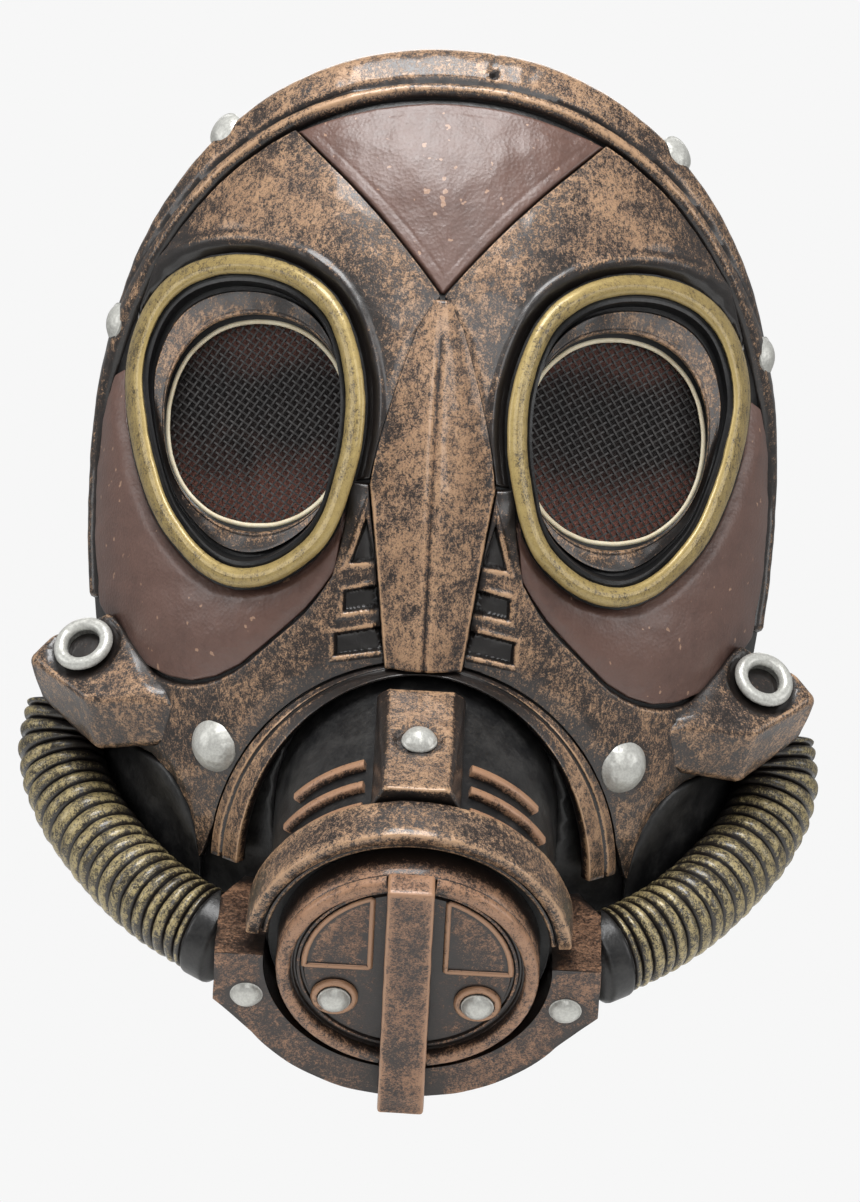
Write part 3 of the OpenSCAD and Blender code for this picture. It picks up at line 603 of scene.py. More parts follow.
@dataclass(frozen=True)
class DarkGauze:
    """Thin red-brown gauze with painted light and shade: red where light is painted at its bottom and top, painted
    shade across its middle.
    """

    name: str = "dark_gauze"
    red: Colour = (0.26, 0.105, 0.080)
    dark: Colour = (0.012, 0.009, 0.009)

    def material(self) -> bpy.types.Material:
        """Builds the nodes.

        Returns:
            The material.
        """
        p = Paint(self.name)
        warp = p.add("ShaderNodeTexWave", wave_type="BANDS", bands_direction="X")
        weft = p.add("ShaderNodeTexWave", wave_type="BANDS", bands_direction="Z")
        for wave in (warp, weft):
            p.feed(wave.inputs["Vector"], p.coords)
            wave.inputs["Scale"].default_value = 1 / (2.4 * MM)
            wave.inputs["Distortion"].default_value = 0.6
        weave = p.math("MAXIMUM", warp.outputs["Fac"], weft.outputs["Fac"])
        height = p.add("ShaderNodeSeparateXYZ")
        p.feed(height.inputs[0], p.coords)
        # Painted light and shade by height: red towards the bottom, half red towards the top, dark across the middle.
        level = p.total((height.outputs["Z"], 1.0), (p.noise(22, 3, 0.5, 0.8), 0.024), (1.0, -0.012))
        low = p.between(level, 0.016, -0.008)
        top = p.between(level, 0.027, 0.042, 0.0, 0.5)
        painted_light_bands = p.math("MAXIMUM", low, top)
        tone = p.total((painted_light_bands, 0.9), (p.noise(5.5, 4, 0.6), 0.28), (weave, 0.08), (1.0, -0.14))
        return p.finish(base_color=p.blend(p.between(tone, 0.0, 0.95), self.dark, self.red), roughness=0.8,
                        normal=p.relief(weave, 0.12), sheen_weight=0.15, sheen_roughness=0.5)


@dataclass(frozen=True)
class WovenElastic:
    """Flat ribbed elastic. Its pattern lies on the strap's own map, in millimetres."""

    name: str = "woven_elastic"
    black: Colour = (0.012, 0.012, 0.013)
    grey: Colour = (0.045, 0.044, 0.046)

    def material(self) -> bpy.types.Material:
        """Builds the nodes.

        Returns:
            The material.
        """
        p = Paint(self.name)
        cloth = p.add("ShaderNodeUVMap", uv_map="cloth").outputs[0]
        ribs = p.add("ShaderNodeTexWave", wave_type="BANDS", bands_direction="Y", wave_profile="SIN")
        picks = p.add("ShaderNodeTexWave", wave_type="BANDS", bands_direction="X", wave_profile="SIN")
        for wave, size in ((ribs, 0.26), (picks, 0.42)):
            p.feed(wave.inputs["Vector"], cloth)
            wave.inputs["Scale"].default_value = size
            wave.inputs["Distortion"].default_value = 0.5
        weave = p.math("MULTIPLY", ribs.outputs["Fac"], picks.outputs["Fac"])
        tone = p.total((weave, 0.8), (p.noise(3, 3, 0.6), 0.35), (1.0, -0.1))
        return p.finish(base_color=p.blend(p.between(tone, 0.0, 0.9), self.black, self.grey), roughness=0.72,
                        normal=p.relief(weave, 0.35), sheen_weight=0.25, sheen_roughness=0.45)


@dataclass(frozen=True)
class SatinSteel:
    """Nickel plated steel with fine turning marks."""

    name: str = "satin_steel"

    def material(self) -> bpy.types.Material:
        """Builds the nodes.

        Returns:
            The material.
        """
        p = Paint(self.name)
        marks, haze = p.noise(0.35, 3, 0.6), p.noise(4, 3)
        tone = p.blend(haze, (0.42, 0.41, 0.39), (0.58, 0.57, 0.55))
        return p.finish(base_color=tone, metallic=1.0, roughness=p.total((marks, 0.18), (haze, 0.1), (1.0, 0.18)),
                        normal=p.relief(marks, 0.03))


@dataclass(frozen=True)
class MouldedPlastic:
    """Black moulded plastic with a spark-eroded texture."""

    name: str = "moulded_plastic"

    def material(self) -> bpy.types.Material:
        """Builds the nodes.

        Returns:
            The material.
        """
        p = Paint(self.name)
        grit, haze = p.noise(0.45, 3, 0.6), p.noise(5, 3)
        tone = p.blend(haze, (0.012, 0.012, 0.013), (0.026, 0.026, 0.027))
        return p.finish(base_color=tone, roughness=p.total((grit, 0.25), (1.0, 0.33)), normal=p.relief(grit, 0.06))


class Slot(Enum):
    """The record's material slots that pieces are finished from."""

    BLACK = "latex_black"
    COPPER = "latex_copper"
    LEATHER = "latex_leather"
    BRASS = "latex_brass"
    SILVER = "latex_silver"
    BARE = "latex_bare"
    MESH = "mesh_black"
    GAUZE = "gauze"
    ELASTIC = "elastic"
    STEEL = "post_steel"
    PLASTIC = "keeper_plastic"


class Wardrobe:
    """Every finish, each built once."""

    def __init__(self) -> None:
        """Builds the materials."""
        copper_dark, copper_light = (0.190, 0.102, 0.056), (0.470, 0.290, 0.165)
        self.black = BlackLatex().material()
        self.bare = BareLatex().material()
        self.by_slot: dict[Slot, bpy.types.Material] = {
            Slot.BLACK: self.black,
            Slot.COPPER: DryBrushed("copper_brush", copper_dark, copper_light).material(),
            Slot.LEATHER: LeatherLook().material(),
            Slot.BRASS: DryBrushed("brass_brush", (0.19, 0.130, 0.040), (0.45, 0.335, 0.125), cover=0.20,
                                   metal=0.25, stain=(0.10, 0.07, 0.025)).material(),
            Slot.SILVER: SilverPaint().material(),
            Slot.BARE: self.bare,
            Slot.MESH: MeshThread().material(),
            Slot.GAUZE: DarkGauze().material(),
            Slot.ELASTIC: WovenElastic().material(),
            Slot.STEEL: SatinSteel().material(),
            Slot.PLASTIC: MouldedPlastic().material(),
        }
        # A darker copy of the copper paint: painted shade on the snout's lower, down-facing and recessed parts.
        self.shaded_copper = DryBrushed("copper_brush_shaded", (0.14, 0.066, 0.037), (0.38, 0.21, 0.12), (0.013, 0.008, 0.006),
                                     (0.050, 0.026, 0.017), cover=0.03, coat=0.3).material()
        self.hose_brass = DryBrushed("hose_brush", (0.135, 0.100, 0.040), (0.43, 0.345, 0.165), cover=0.02,
                                     stain=(0.045, 0.034, 0.016), rough=0.36).material()
        self.binding = BareLatex("bare_latex_edge", (0.84, 0.74, 0.55), (0.62, 0.50, 0.33)).material()


# ---- Meshes ------------------------------------------------------------------------------


def grid(columns: int, rows: int, place: Place, weld: float = 1e-3) -> bmesh.types.BMesh:
    """Lays a grid of faces over a surface.

    Args:
        columns: Faces along the first direction.
        rows: Faces along the second direction.
        place: Gives the point at two shares from 0 to 1.
        weld: Points closer than this become one, which closes seams and poles.

    Returns:
        The mesh, in millimetres.
    """
    bm = bmesh.new()
    bmesh.ops.create_grid(bm, x_segments=columns, y_segments=rows, size=0.5)
    for vert in bm.verts:
        vert.co = place(clamp(vert.co.x + 0.5), clamp(vert.co.y + 0.5))
    bmesh.ops.remove_doubles(bm, verts=bm.verts, dist=weld)
    return bm


def face_out(bm: bmesh.types.BMesh, from_point: Vector | None = None) -> None:
    """Turns an open sheet's faces to look away from a point behind it, or outwards if it is closed."""
    if from_point is None:
        bmesh.ops.recalc_face_normals(bm, faces=bm.faces)
        return
    bm.normal_update()
    outward = sum(f.normal.dot(f.calc_center_median() - from_point) * f.calc_area() for f in bm.faces)
    if outward < 0:
        bmesh.ops.reverse_faces(bm, faces=bm.faces)


BEHIND = Vector((0, 400, -20))


def mirrored(bm: bmesh.types.BMesh, side: Side) -> bmesh.types.BMesh:
    """Moves a left piece to the side that is asked for."""
    if side is Side.RIGHT:
        bmesh.ops.scale(bm, vec=(-1, 1, 1), verts=bm.verts)
        bmesh.ops.reverse_faces(bm, faces=bm.faces)
    return bm


def spun(profile: Sequence[Point], steps: int, degrees: float = 360.0, start: float = 0.0) -> bmesh.types.BMesh:
    """Turns a profile of (radius, height) points about Z.

    Args:
        profile: The points of the profile, closed if its first point is repeated.
        steps: Faces round the turn.
        degrees: How far the profile is turned.
        start: Where the turn starts, from +X.

    Returns:
        The mesh, capped at its ends if the turn isn't full and the profile is closed.
    """
    bm = bmesh.new()
    verts = [bm.verts.new((r, 0, z)) for r, z in profile]
    edges = [bm.edges.new((a, b)) for a, b in zip(verts, verts[1:]) if a.co != b.co]
    bmesh.ops.rotate(bm, cent=(0, 0, 0), matrix=Matrix.Rotation(math.radians(start), 3, "Z"), verts=bm.verts)
    full = degrees >= 360
    bmesh.ops.spin(bm, geom=verts + edges, cent=(0, 0, 0), axis=(0, 0, 1), dvec=(0, 0, 0),
                   angle=math.radians(degrees), steps=steps, use_merge=full, use_duplicate=False)
    bmesh.ops.remove_doubles(bm, verts=bm.verts, dist=1e-3)
    if not full:
        bmesh.ops.holes_fill(bm, edges=[e for e in bm.edges if e.is_boundary], sides=0)
    bmesh.ops.recalc_face_normals(bm, faces=bm.faces)
    return bm


def round_corners(bm: bmesh.types.BMesh, width: float, sharper_than: float = 30.0, segments: int = 3) -> None:
    """Bevels every edge that is sharper than an angle."""
    limit = math.radians(sharper_than)
    sharp = [e for e in bm.edges if e.is_manifold and e.calc_face_angle(0) > limit]
    bmesh.ops.bevel(bm, geom=sharp, offset=width, segments=segments, profile=0.5, affect="EDGES", material=-1,
                    clamp_overlap=True)


def block(size: Sequence[float], centre: Sequence[float]) -> bmesh.types.BMesh:
    """A box of a size round a centre."""
    bm = bmesh.new()
    bmesh.ops.create_cube(bm, size=1.0)
    bmesh.ops.scale(bm, vec=size, verts=bm.verts)
    bmesh.ops.translate(bm, vec=centre, verts=bm.verts)
    return bm


def extruded(outline: Sequence[Point], low: float, high: float) -> bmesh.types.BMesh:
    """A prism from an outline in X and Y, between two heights."""
    bm = bmesh.new()
    face = bm.faces.new([bm.verts.new((x, y, low)) for x, y in outline])
    lifted = bmesh.ops.extrude_face_region(bm, geom=[face])
    bmesh.ops.translate(bm, vec=(0, 0, high - low), verts=[g for g in lifted["geom"] if isinstance(g, bmesh.types.BMVert)])
    bmesh.ops.recalc_face_normals(bm, faces=bm.faces)
    return bm


def joined(meshes: Sequence[bmesh.types.BMesh]) -> bmesh.types.BMesh:
    """Puts several meshes into one."""
    whole = bmesh.new()
    for bm in meshes:
        part = bpy.data.meshes.new("part")
        bm.to_mesh(part)
        bm.free()
        whole.from_mesh(part)
        bpy.data.meshes.remove(part)
    return whole


def dense(bm: bmesh.types.BMesh, longest: float) -> None:
    """Cuts edges that are longer than a length, so that paint has points to lie on."""
    for _ in range(6):
        long_edges = [e for e in bm.edges if e.calc_length() > longest]
        if not long_edges:
            return
        bmesh.ops.subdivide_edges(bm, edges=long_edges, cuts=1, use_grid_fill=True)
        bmesh.ops.triangulate(bm, faces=[f for f in bm.faces if len(f.verts) > 4])


@dataclass
class Workshop:
    """Turns meshes into the scene's pieces and keeps a list of them."""

    wardrobe: Wardrobe
    pieces: list[bpy.types.Object] = field(default_factory=list)

    def piece(self, bm: bmesh.types.BMesh, name: str, slot: Slot, body: Body = Body.MASK,
              replaces: Sequence[str] = (), wall: float = 0.0, inside: bool = False,
              brush: Callable[[Vector], float] | None = None, material: bpy.types.Material | None = None,
              keep_sharp: float = 50.0) -> bpy.types.Object:
        """Makes one piece of the mask.

        Args:
            bm: The mesh, in millimetres. It is used up.
            name: The piece's name.
            slot: The record's material slot.
            body: What the piece moves with.
            replaces: The CAD nodes that it stands for.
            wall: Thickness that an open sheet is given inwards.
            inside: Whether that wall's inner face is bare latex.
            brush: How well brushed paint takes at a point, from 0 to 1; on the snout's visor, jaw and cap it also holds
                painted light on their tops and painted shade lower down.
            material: A finish in place of the slot's own.
            keep_sharp: Edges with a larger angle in degrees stay sharp.

        Returns:
            The piece.
        """
        mesh = bpy.data.meshes.new(name)
        level = [1.0 if brush is None else clamp(brush(v.co)) for v in bm.verts]
        bmesh.ops.scale(bm, vec=(MM, MM, MM), verts=bm.verts)
        bm.to_mesh(mesh)
        bm.free()
        mesh.shade_smooth()
        mesh.set_sharp_from_angle(angle=math.radians(keep_sharp))
        mesh.attributes.new("brush", "FLOAT", "POINT").data.foreach_set("value", level)
        obj = bpy.data.objects.new(name, mesh)
        bpy.context.scene.collection.objects.link(obj)
        mesh.materials.append(material or self.wardrobe.by_slot[slot])
        if inside:
            mesh.materials.append(self.wardrobe.bare)
        if wall:
            shell = obj.modifiers.new("wall", "SOLIDIFY")
            shell.thickness, shell.offset, shell.use_rim = wall * MM, -1, True
            shell.material_offset = 1 if inside else 0
        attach(obj, body.value)
        if replaces:
            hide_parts(*replaces)
        self.pieces.append(obj)
        LOG.info("%s: %d points, rides %s", name, len(mesh.vertices), body.value)
        return obj

    def pair(self, build: Callable[[], bmesh.types.BMesh], name: str, slot: Slot, **how: object) -> None:
        """Makes a left piece and its mirror image, each of which replaces the CAD node of its name."""
        for side in Side:
            self.piece(mirrored(build(), side), f"{name}_{side.tag}", slot, replaces=[f"{name}_{side.tag}"], **how)


def along(points: Sequence[Sequence[float]], share: float) -> Vector:
    """A point of a chain of straight stretches, each of which takes an equal share."""
    place = clamp(share) * (len(points) - 1)
    i = min(int(place), len(points) - 2)
    return Vector(points[i]).lerp(Vector(points[i + 1]), place - i)


def crowded(share: float) -> float:
    """Moves evenly spaced shares towards both ends, where a plate's borders roll over."""
    return mix(share, (1 - math.cos(math.pi * share)) / 2, 0.75)


@dataclass(frozen=True)
class Plate:
    """A plate that lies on the form between two edge curves and rolls over at its borders."""

    edge_a: Sequence[Sequence[float]]
    edge_b: Sequence[Sequence[float]]
    height: float
    columns: int = 120
    rows: int = 36
    round_a: float = 1.7
    round_b: float = 0.8
    round_end: float = 0.8
    pillow: float = 0.5
    lumps: float = 0.35
    lump_size: float = 13.0
    sink: float = 0.3
    relief: Callable[[float, float], float] = lambda x, z: 0.0

    def mesh(self) -> bmesh.types.BMesh:
        """Builds the plate's outer face.

        Returns:
            The open sheet, facing outwards, in millimetres.
        """
        middle = [along(self.edge_a, k / 24).lerp(along(self.edge_b, k / 24), 0.5) for k in range(25)]
        length = sum((b - a).length for a, b in zip(middle, middle[1:]))

        def place(u: float, v: float) -> Vector:
            """Puts one point on the form at its height."""
            u, v = crowded(u), crowded(v)
            a, b = along(self.edge_a, u), along(self.edge_b, u)
            wide = (b - a).length
            x, z = a.lerp(b, v)
            border = roll(v * wide, self.round_a) * roll((1 - v) * wide, self.round_b)
            border *= roll(min(u, 1 - u) * length, self.round_end)
            swell = self.pillow * (1 - (2 * v - 1) ** 2) * min(1, wide / 20)
            lump = self.lumps * (grain(x, 0, z, self.lump_size) + 0.4 * grain(x, 9, z, self.lump_size / 3))
            high = (self.height + swell + lump + self.relief(x, z) + self.sink) * border - self.sink
            return FORM.lift(x, z, high)

        bm = grid(self.columns, self.rows, place)
        face_out(bm, BEHIND)
        return bm


def in_outline(x: float, z: float, outline: Sequence[Point]) -> float:
    """Distance from a point to the sides of a convex outline, positive inside it."""
    spin = sum(a[0] * b[1] - b[0] * a[1] for a, b in zip(outline, (*outline[1:], outline[0])))
    nearest = math.inf
    for a, b in zip(outline, (*outline[1:], outline[0])):
        dx, dz = b[0] - a[0], b[1] - a[1]
        nearest = min(nearest, math.copysign(1, spin) * (dx * (z - a[1]) - dz * (x - a[0])) / math.hypot(dx, dz))
    return nearest


def swept(path: Callable[[float], Vector], radius: Callable[[float, float], float], steps: int,
          sides: int) -> bmesh.types.BMesh:
    """Sweeps a round section along a path.

    Args:
        path: Gives a point at a share from 0 to 1.
        radius: Gives the radius at a share of the path and an angle in radians.
        steps: Faces along the path.
        sides: Faces round it.

    Returns:
        The open tube.
    """
    def place(u: float, v: float) -> Vector:
        """Puts one point on the tube."""
        ahead = (path(min(1, v + 0.01)) - path(max(0, v - 0.01))).normalized()
        across = ahead.cross(Vector((0, 1, 0.3))).normalized()
        up = ahead.cross(across)
        turn = math.tau * u
        return path(v) + radius(v, turn) * (math.cos(turn) * across + math.sin(turn) * up)

    bm = grid(sides, steps, place)
    bmesh.ops.recalc_face_normals(bm, faces=bm.faces)
    return bm


def dome(d: float, high: float, collar: float = 0.0) -> bmesh.types.BMesh:
    """A rivet's head on Z = 0: a hammered dome with a soft foot, and a low collar if it has one."""
    radius = (d * d / 4 + high * high) / (2 * high)
    reach = math.asin(min(1, d / 2 / radius))
    profile = [(radius * math.sin(reach * k / 14), high - radius + radius * math.cos(reach * k / 14)) for k in range(15)]
    profile[-1] = (d / 2, 0.35)
    if collar:
        profile += [(d / 2 + 0.25, 0.3), (d / 2 + 0.5, 0.75), (d / 2 + collar * 0.6, 0.95), (d / 2 + collar, 0.5)]
    profile += [(profile[-1][0] + 0.05, -0.3)]
    bm = spun(profile, 48)
    for vert in bm.verts:
        x, y, z = vert.co
        if z > 0.5:
            vert.co *= 1 + 0.022 * grain(x, y, z, 2.6)
    if bm.faces and sum(f.normal.z for f in bm.faces) < 0:
        bmesh.ops.reverse_faces(bm, faces=bm.faces)
    return bm


def stood(bm: bmesh.types.BMesh, x: float, z: float, height: float) -> bmesh.types.BMesh:
    """Turns a mesh's +Z to the form's normal at a point and moves it there."""
    turn = Vector((0, 0, 1)).rotation_difference(FORM.normal(x, z)).to_matrix().to_4x4()
    bmesh.ops.transform(bm, matrix=Matrix.Translation(FORM.lift(x, z, height)) @ turn, verts=bm.verts)
    return bm


def on_snout(bm: bmesh.types.BMesh) -> bmesh.types.BMesh:
    """Brings a mesh from the snout's own frame to the mask's."""
    bmesh.ops.transform(bm, matrix=SNOUT.place, verts=bm.verts)
    return bm


# ---- Skin and plates ---------------------------------------------------------------------


@dataclass
class Skin:
    """The latex shell with its crown band, plates, nose, vents and webs."""

    shop: Workshop
    wall: float = 3.0
    band_h: float = 3.6
    plate_h: float = 2.5
    leather_h: float = 1.7
    corner_a: float = 66.4
    apex_z: float = 57.0
    nose_half_w: float = 18.5
    cheek_low: tuple[Point, ...] = ((98, -40), (90, -50.5), (79, -58.5), (67, -60.5), (55, -55.5), (44, -45.5),
                                    (34, -35.5), (27, -25))
    wing_low: tuple[Point, ...] = ((86, -80), (76, -84.5), (68, -94), (64, -104), (62.5, -113))
    web_out: tuple[Point, ...] = ((101, -73), (99, -88), (92, -103), (83, -115), (72, -125), (63, -131))
    vents: tuple[tuple[Point, ...], ...] = (
        ((22.7, -22.5), (18.9, -9.7), (15.8, -21.5)),
        ((24, -37), (24, -31), (14.6, -29), (13.4, -35)),
        ((25.9, -50), (26, -43.7), (12.9, -41), (11.6, -47.4)),
    )

    def nose_half(self, z: float) -> float:
        """Half the width of the nose at a height."""
        if z > 0:
            return mix(self.nose_half_w, 3, min(1, z / self.apex_z) ** 1.3)
        return mix(self.nose_half_w, 11, min(1, -z / 55) ** 0.9)

    def nose_h(self, z: float) -> float:
        """How far the nose stands off the form at a height."""
        return mix(2.9, 10, clamp((self.apex_z - z) / 112) ** 1.4)

    def band_edge(self, degrees: float) -> Point:
        """A point just inside the crown band."""
        return FORM.rim(degrees, FORM.band_share(degrees) - 0.006)

    def tri_side(self, share: float) -> Point:
        """A point of the forehead panel's left side, from its corner at 0 to its tip at 1."""
        (cx, cz), bow = self.band_edge(self.corner_a), 2.4 * math.sin(math.pi * share)
        return mix(cx, 0, share) - bow, mix(cz, self.apex_z, share)

    def build(self) -> None:
        """Builds every piece of the skin."""
        shop = self.shop
        shop.piece(self.shell(), "shell_skin", Slot.BLACK, replaces=["face_shell"], wall=self.wall, inside=True)
        shop.piece(self.band(), "band_relief", Slot.COPPER, replaces=["crown_band"], wall=0.9,
                   brush=self.band_paint)
        shop.piece(self.forehead(), "forehead_leather", Slot.LEATHER, replaces=["forehead_panel"], wall=0.7,
                   brush=lambda p: 1 - 0.10 * bump(math.hypot(p.x, p.z - 84), 0, 17))
        shop.piece(self.nose(), "nose_relief", Slot.COPPER, replaces=["nose_ridge"], wall=0.9,
                   brush=lambda p: 1.25)
        for side in Side:
            tag = side.tag
            rows = (
                (self.brow(), "brow_relief", Slot.COPPER, "brow_plate", self.brow_paint),
                (self.cheek(), "cheek_leather", Slot.LEATHER, "cheek_panel", None),
                (self.bracket(), "bracket_relief", Slot.COPPER, "cheek_bracket", self.bracket_paint),
                (self.web(), "web_skin", Slot.BLACK, "hose_web", None),
                (self.vent_floor(), "vent_floor", Slot.BLACK, "vent_inlays", None),
            )
            for bm, name, slot, node, brush in rows:
                shop.piece(mirrored(bm, side), f"{name}_{tag}", slot, replaces=[f"{node}_{tag}"], wall=0.8, brush=brush)

    def shell(self) -> bmesh.types.BMesh:
        """The dome with its goggle and snout openings."""
        def place(u: float, v: float) -> Vector:
            """Puts one point on the dome."""
            x, z = FORM.rim(360 * u, 1 - (1 - v) ** 1.35)
            return FORM.lift(x, z, -0.1 + 0.25 * grain(x, 0, z, 9) * (1 - v))

        bm = grid(240, 90, place)
        face_out(bm, BEHIND)
        to_snout = SNOUT.place.inverted()
        hole_r = SNOUT.barrel_r + 0.3

        def off_goggle(p: Vector) -> float:
            """How far a point is outside the goggle openings."""
            return GOGGLE.outside(p.x, p.z) + GOGGLE.bead / 2 + 0.6

        def off_snout(p: Vector) -> float:
            """How far a point is outside the snout's opening."""
            local = to_snout @ p
            return math.hypot(local.x, local.y) - hole_r if p.z < -40 else 99.0

        gone = [f for f in bm.faces if min(off_goggle(f.calc_center_median()), off_snout(f.calc_center_median())) < 0]
        bmesh.ops.delete(bm, geom=gone, context="FACES")
        for vert in bm.verts:
            if not vert.is_boundary:
                continue
            if abs(off_goggle(vert.co)) < 4:
                side = math.copysign(1, vert.co.x)
                turn = math.degrees(math.atan2(vert.co.z - GOGGLE.z, abs(vert.co.x) - GOGGLE.x))
                x, z = GOGGLE.ring(turn, 0.6)
                vert.co = FORM.lift(side * x, z, -0.1)
            elif abs(off_snout(vert.co)) < 4:
                local = to_snout @ vert.co
                grow = hole_r / math.hypot(local.x, local.y)
                moved = SNOUT.place @ Vector((local.x * grow, local.y * grow, local.z))
                vert.co = FORM.lift(moved.x, moved.z, -0.1)
        return bm

    def band(self) -> bmesh.types.BMesh:
        """The raised rim over the crown: an inner bead, a groove and a broad rounded face."""
        start, sweep = 201.0, -222.0

        def place(u: float, v: float) -> Vector:
            """Puts one point on the band."""
            turn, v = start + sweep * u, crowded(v)
            share = FORM.band_share(turn)
            x, z = FORM.rim(turn, mix(share, 1, v))
            wide = (1 - share) * math.hypot(*FORM.rim(turn))
            inner, outer = v * wide, (1 - v) * wide
            full = ease(4, 9, wide)
            groove = 1.3 * full * bump(inner, 3.8, 1.0)
            bead = 0.35 * full * bump(inner, 1.7, 2.0)
            face = 0.6 * full * math.sin(math.pi * clamp((inner - 5) / max(1, wide - 5)))
            notch = 1.3 * full * bump((turn - 84.5) * 2.0, 0, 0.8) * ease(5.0, 6.5, inner)
            pit = 1.8 * bump(math.hypot((turn - 84.5) * 2.0, inner - 6.8), 0, 1.7)
            lump = 0.3 * grain(x, 3, z, 11) + 0.16 * grain(x, 7, z, 3.5)
            high = (self.band_h + 0.6 + bead + face + lump) * roll(inner, 1.5) * roll(outer, 3.4) - 0.6 - groove - notch - pit
            ends = roll(min(u, 1 - u) * 400, 2.0)
            return FORM.lift(x, z, mix(-0.6, high, ends))

        bm = grid(420, 26, place)
        face_out(bm, BEHIND)
        return bm

    def band_paint(self, p: Vector) -> float:
        """Less paint on the band's flanks."""
        return 0.84 - 0.25 * ease(60, 104, abs(p.x)) + 0.16 * bump(abs(p.x), 30, 50)

    def forehead(self) -> bmesh.types.BMesh:
        """The leather triangle whose top follows the crown band."""
        def place(u: float, v: float) -> Vector:
            """Puts one point on the triangle."""
            down = crowded(v) * 0.985
            half, z = self.tri_side(down)
            across = 2 * crowded(u) - 1
            x = half * across
            rise = 10.6 * (1 - across * across) * (1 - down)
            border = min((1 - abs(across)) * half * 0.86 + 0.05, down * 62, 60 * (1 - down))
            line = 0.12 * bump(border, 3.2, 0.8)
            lump = 0.4 * grain(x, 5, z, 12) + 0.2 * grain(x, 2, z, 4)
            pad = 0.9 * ease(1.5, 18, border)
            high = (self.leather_h + 0.3 + lump + pad) * roll(border, 1.1) - 0.3 - line
            return FORM.lift(x, z + rise, high)

        bm = grid(90, 70, place)
        face_out(bm, BEHIND)
        return bm

    def brow(self) -> bmesh.types.BMesh:
        """The plate over a goggle."""
        inner = [GOGGLE.ring(mix(42, 206, k / 20), -GOGGLE.bead / 2 - 0.6) for k in range(21)]
        outer = [self.band_edge(mix(30, self.corner_a, k / 8)) for k in range(9)]
        outer += [(self.tri_side(k / 6)[0] + 0.6, self.tri_side(k / 6)[1]) for k in range(1, 7)]
        outer += [(self.nose_half(z) + 0.28, z) for z in (mix(self.apex_z - 1, 2, k / 6) for k in range(1, 7))]

        def relief(x: float, z: float) -> float:
            """A hollow round the goggle and a lip beside it."""
            off = GOGGLE.outside(x, z)
            return -1.5 * (1 - ease(0.6, 3.4, off)) + 0.55 * bump(off, 4.6, 2.0)

        return Plate(inner, outer, self.plate_h, 200, 48, round_a=2.0, round_b=0.04, relief=relief).mesh()

    def brow_paint(self, p: Vector) -> float:
        """Most paint on the top of the brow and beside the nose, and little near the goggle."""
        off = GOGGLE.outside(p.x, p.z)
        top = bump(p.z, 84, 34) * bump(abs(p.x), 48, 46)
        return 0.62 + 0.5 * top + 0.32 * bump(abs(p.x), 12, 16) - 0.55 * (1 - ease(0.5, 9.0, off))

    def cheek(self) -> bmesh.types.BMesh:
        """The leather below and outside a goggle."""
        inner = [GOGGLE.ring(mix(20, -142, k / 22), -GOGGLE.bead / 2 - 0.6) for k in range(23)]
        outer = [self.band_edge(mix(17, -20, k / 9)) for k in range(10)]
        outer += [tuple(on_curve(self.cheek_low, k / 12)) for k in range(13)]

        def relief(x: float, z: float) -> float:
            """A hollow round the goggle."""
            return -1.1 * (1 - ease(0.5, 3.5, GOGGLE.outside(x, z)))

        return Plate(inner, outer, self.leather_h, 200, 36, round_a=2.2, pillow=1.0, lumps=0.5, relief=relief).mesh()

    def bracket(self) -> bmesh.types.BMesh:
        """The copper wing from the nose to the ear, sunk where its vents are."""
        top = [(92, -49), (79, -59.2), (67, -61.2), (55, -56.2), (44, -46.2), (34, -36.2), (27.6, -25.8)]
        upper = [tuple(on_curve(top, k / 16)) for k in range(17)]
        upper += [tuple(on_curve([(27.6, -25.8), (25.4, -12), (24.6, 1.2)], k / 10)) for k in range(1, 11)]
        lower = [tuple(on_curve(self.wing_low, k / 5)) for k in range(6)]
        lower += [tuple(c + 0.25 for c in SNOUT.arch_outer(mix(3, 79, k / 16))) for k in range(1, 17)]
        lower += [(self.nose_half(z) + 0.3, z) for z in (mix(-50.5, 1.2, k / 5) for k in range(1, 6))]

        def relief(x: float, z: float) -> float:
            """The vents, and a hollow under the nose's side."""
            deepest = max(in_outline(x, z, v) for v in self.vents)
            return -2.3 * ease(-0.25, 0.45, deepest) + 0.35 * bump(deepest, -1.1, 1.2)

        return Plate(upper, lower, self.plate_h, 270, 90, round_a=1.4, round_b=0.4, pillow=1.1, relief=relief).mesh()

    def bracket_paint(self, p: Vector) -> float:
        """No paint in the vents and less towards the goggle and the ear."""
        deepest = max(in_outline(abs(p.x), p.z, v) for v in self.vents)
        off = GOGGLE.outside(p.x, p.z)
        return 0.86 - 1.2 * ease(-0.3, 0.4, deepest) - 0.15 * ease(60, 95, abs(p.x)) - 0.3 * (1 - ease(0, 8, off))

    def vent_floor(self) -> bmesh.types.BMesh:
        """Black fillets on the floors of the three vents, each with two raised ribs."""
        panels = []
        for outline in self.vents:
            corners = outline if len(outline) == 4 else (*outline, outline[2])

            def place(u: float, v: float, c: Sequence[Point] = corners) -> Vector:
                """Puts one point on the panel's floor."""
                a, b = Vector(c[0]).lerp(Vector(c[1]), v), Vector(c[3]).lerp(Vector(c[2]), v)
                x, z = a.lerp(b, mix(0.05, 0.95, u))
                ribs = 0.35 * bump(v, 0.34, 0.13) + 0.35 * bump(v, 0.68, 0.13)
                return FORM.lift(x, z, 0.55 + ribs)

            bm = grid(14, 22, place)
            face_out(bm, BEHIND)
            panels.append(bm)
        return joined(panels)

    def web(self) -> bmesh.types.BMesh:
        """The smooth black web between a hose and the cheek, creased along its length."""
        near = ((90, -71), *((x + 0.48, z - 0.6) for x, z in self.wing_low))
        inner = [tuple(on_curve(near, k / 12)) for k in range(13)]
        outer = [tuple(on_curve(self.web_out, k / 12)) for k in range(13)]

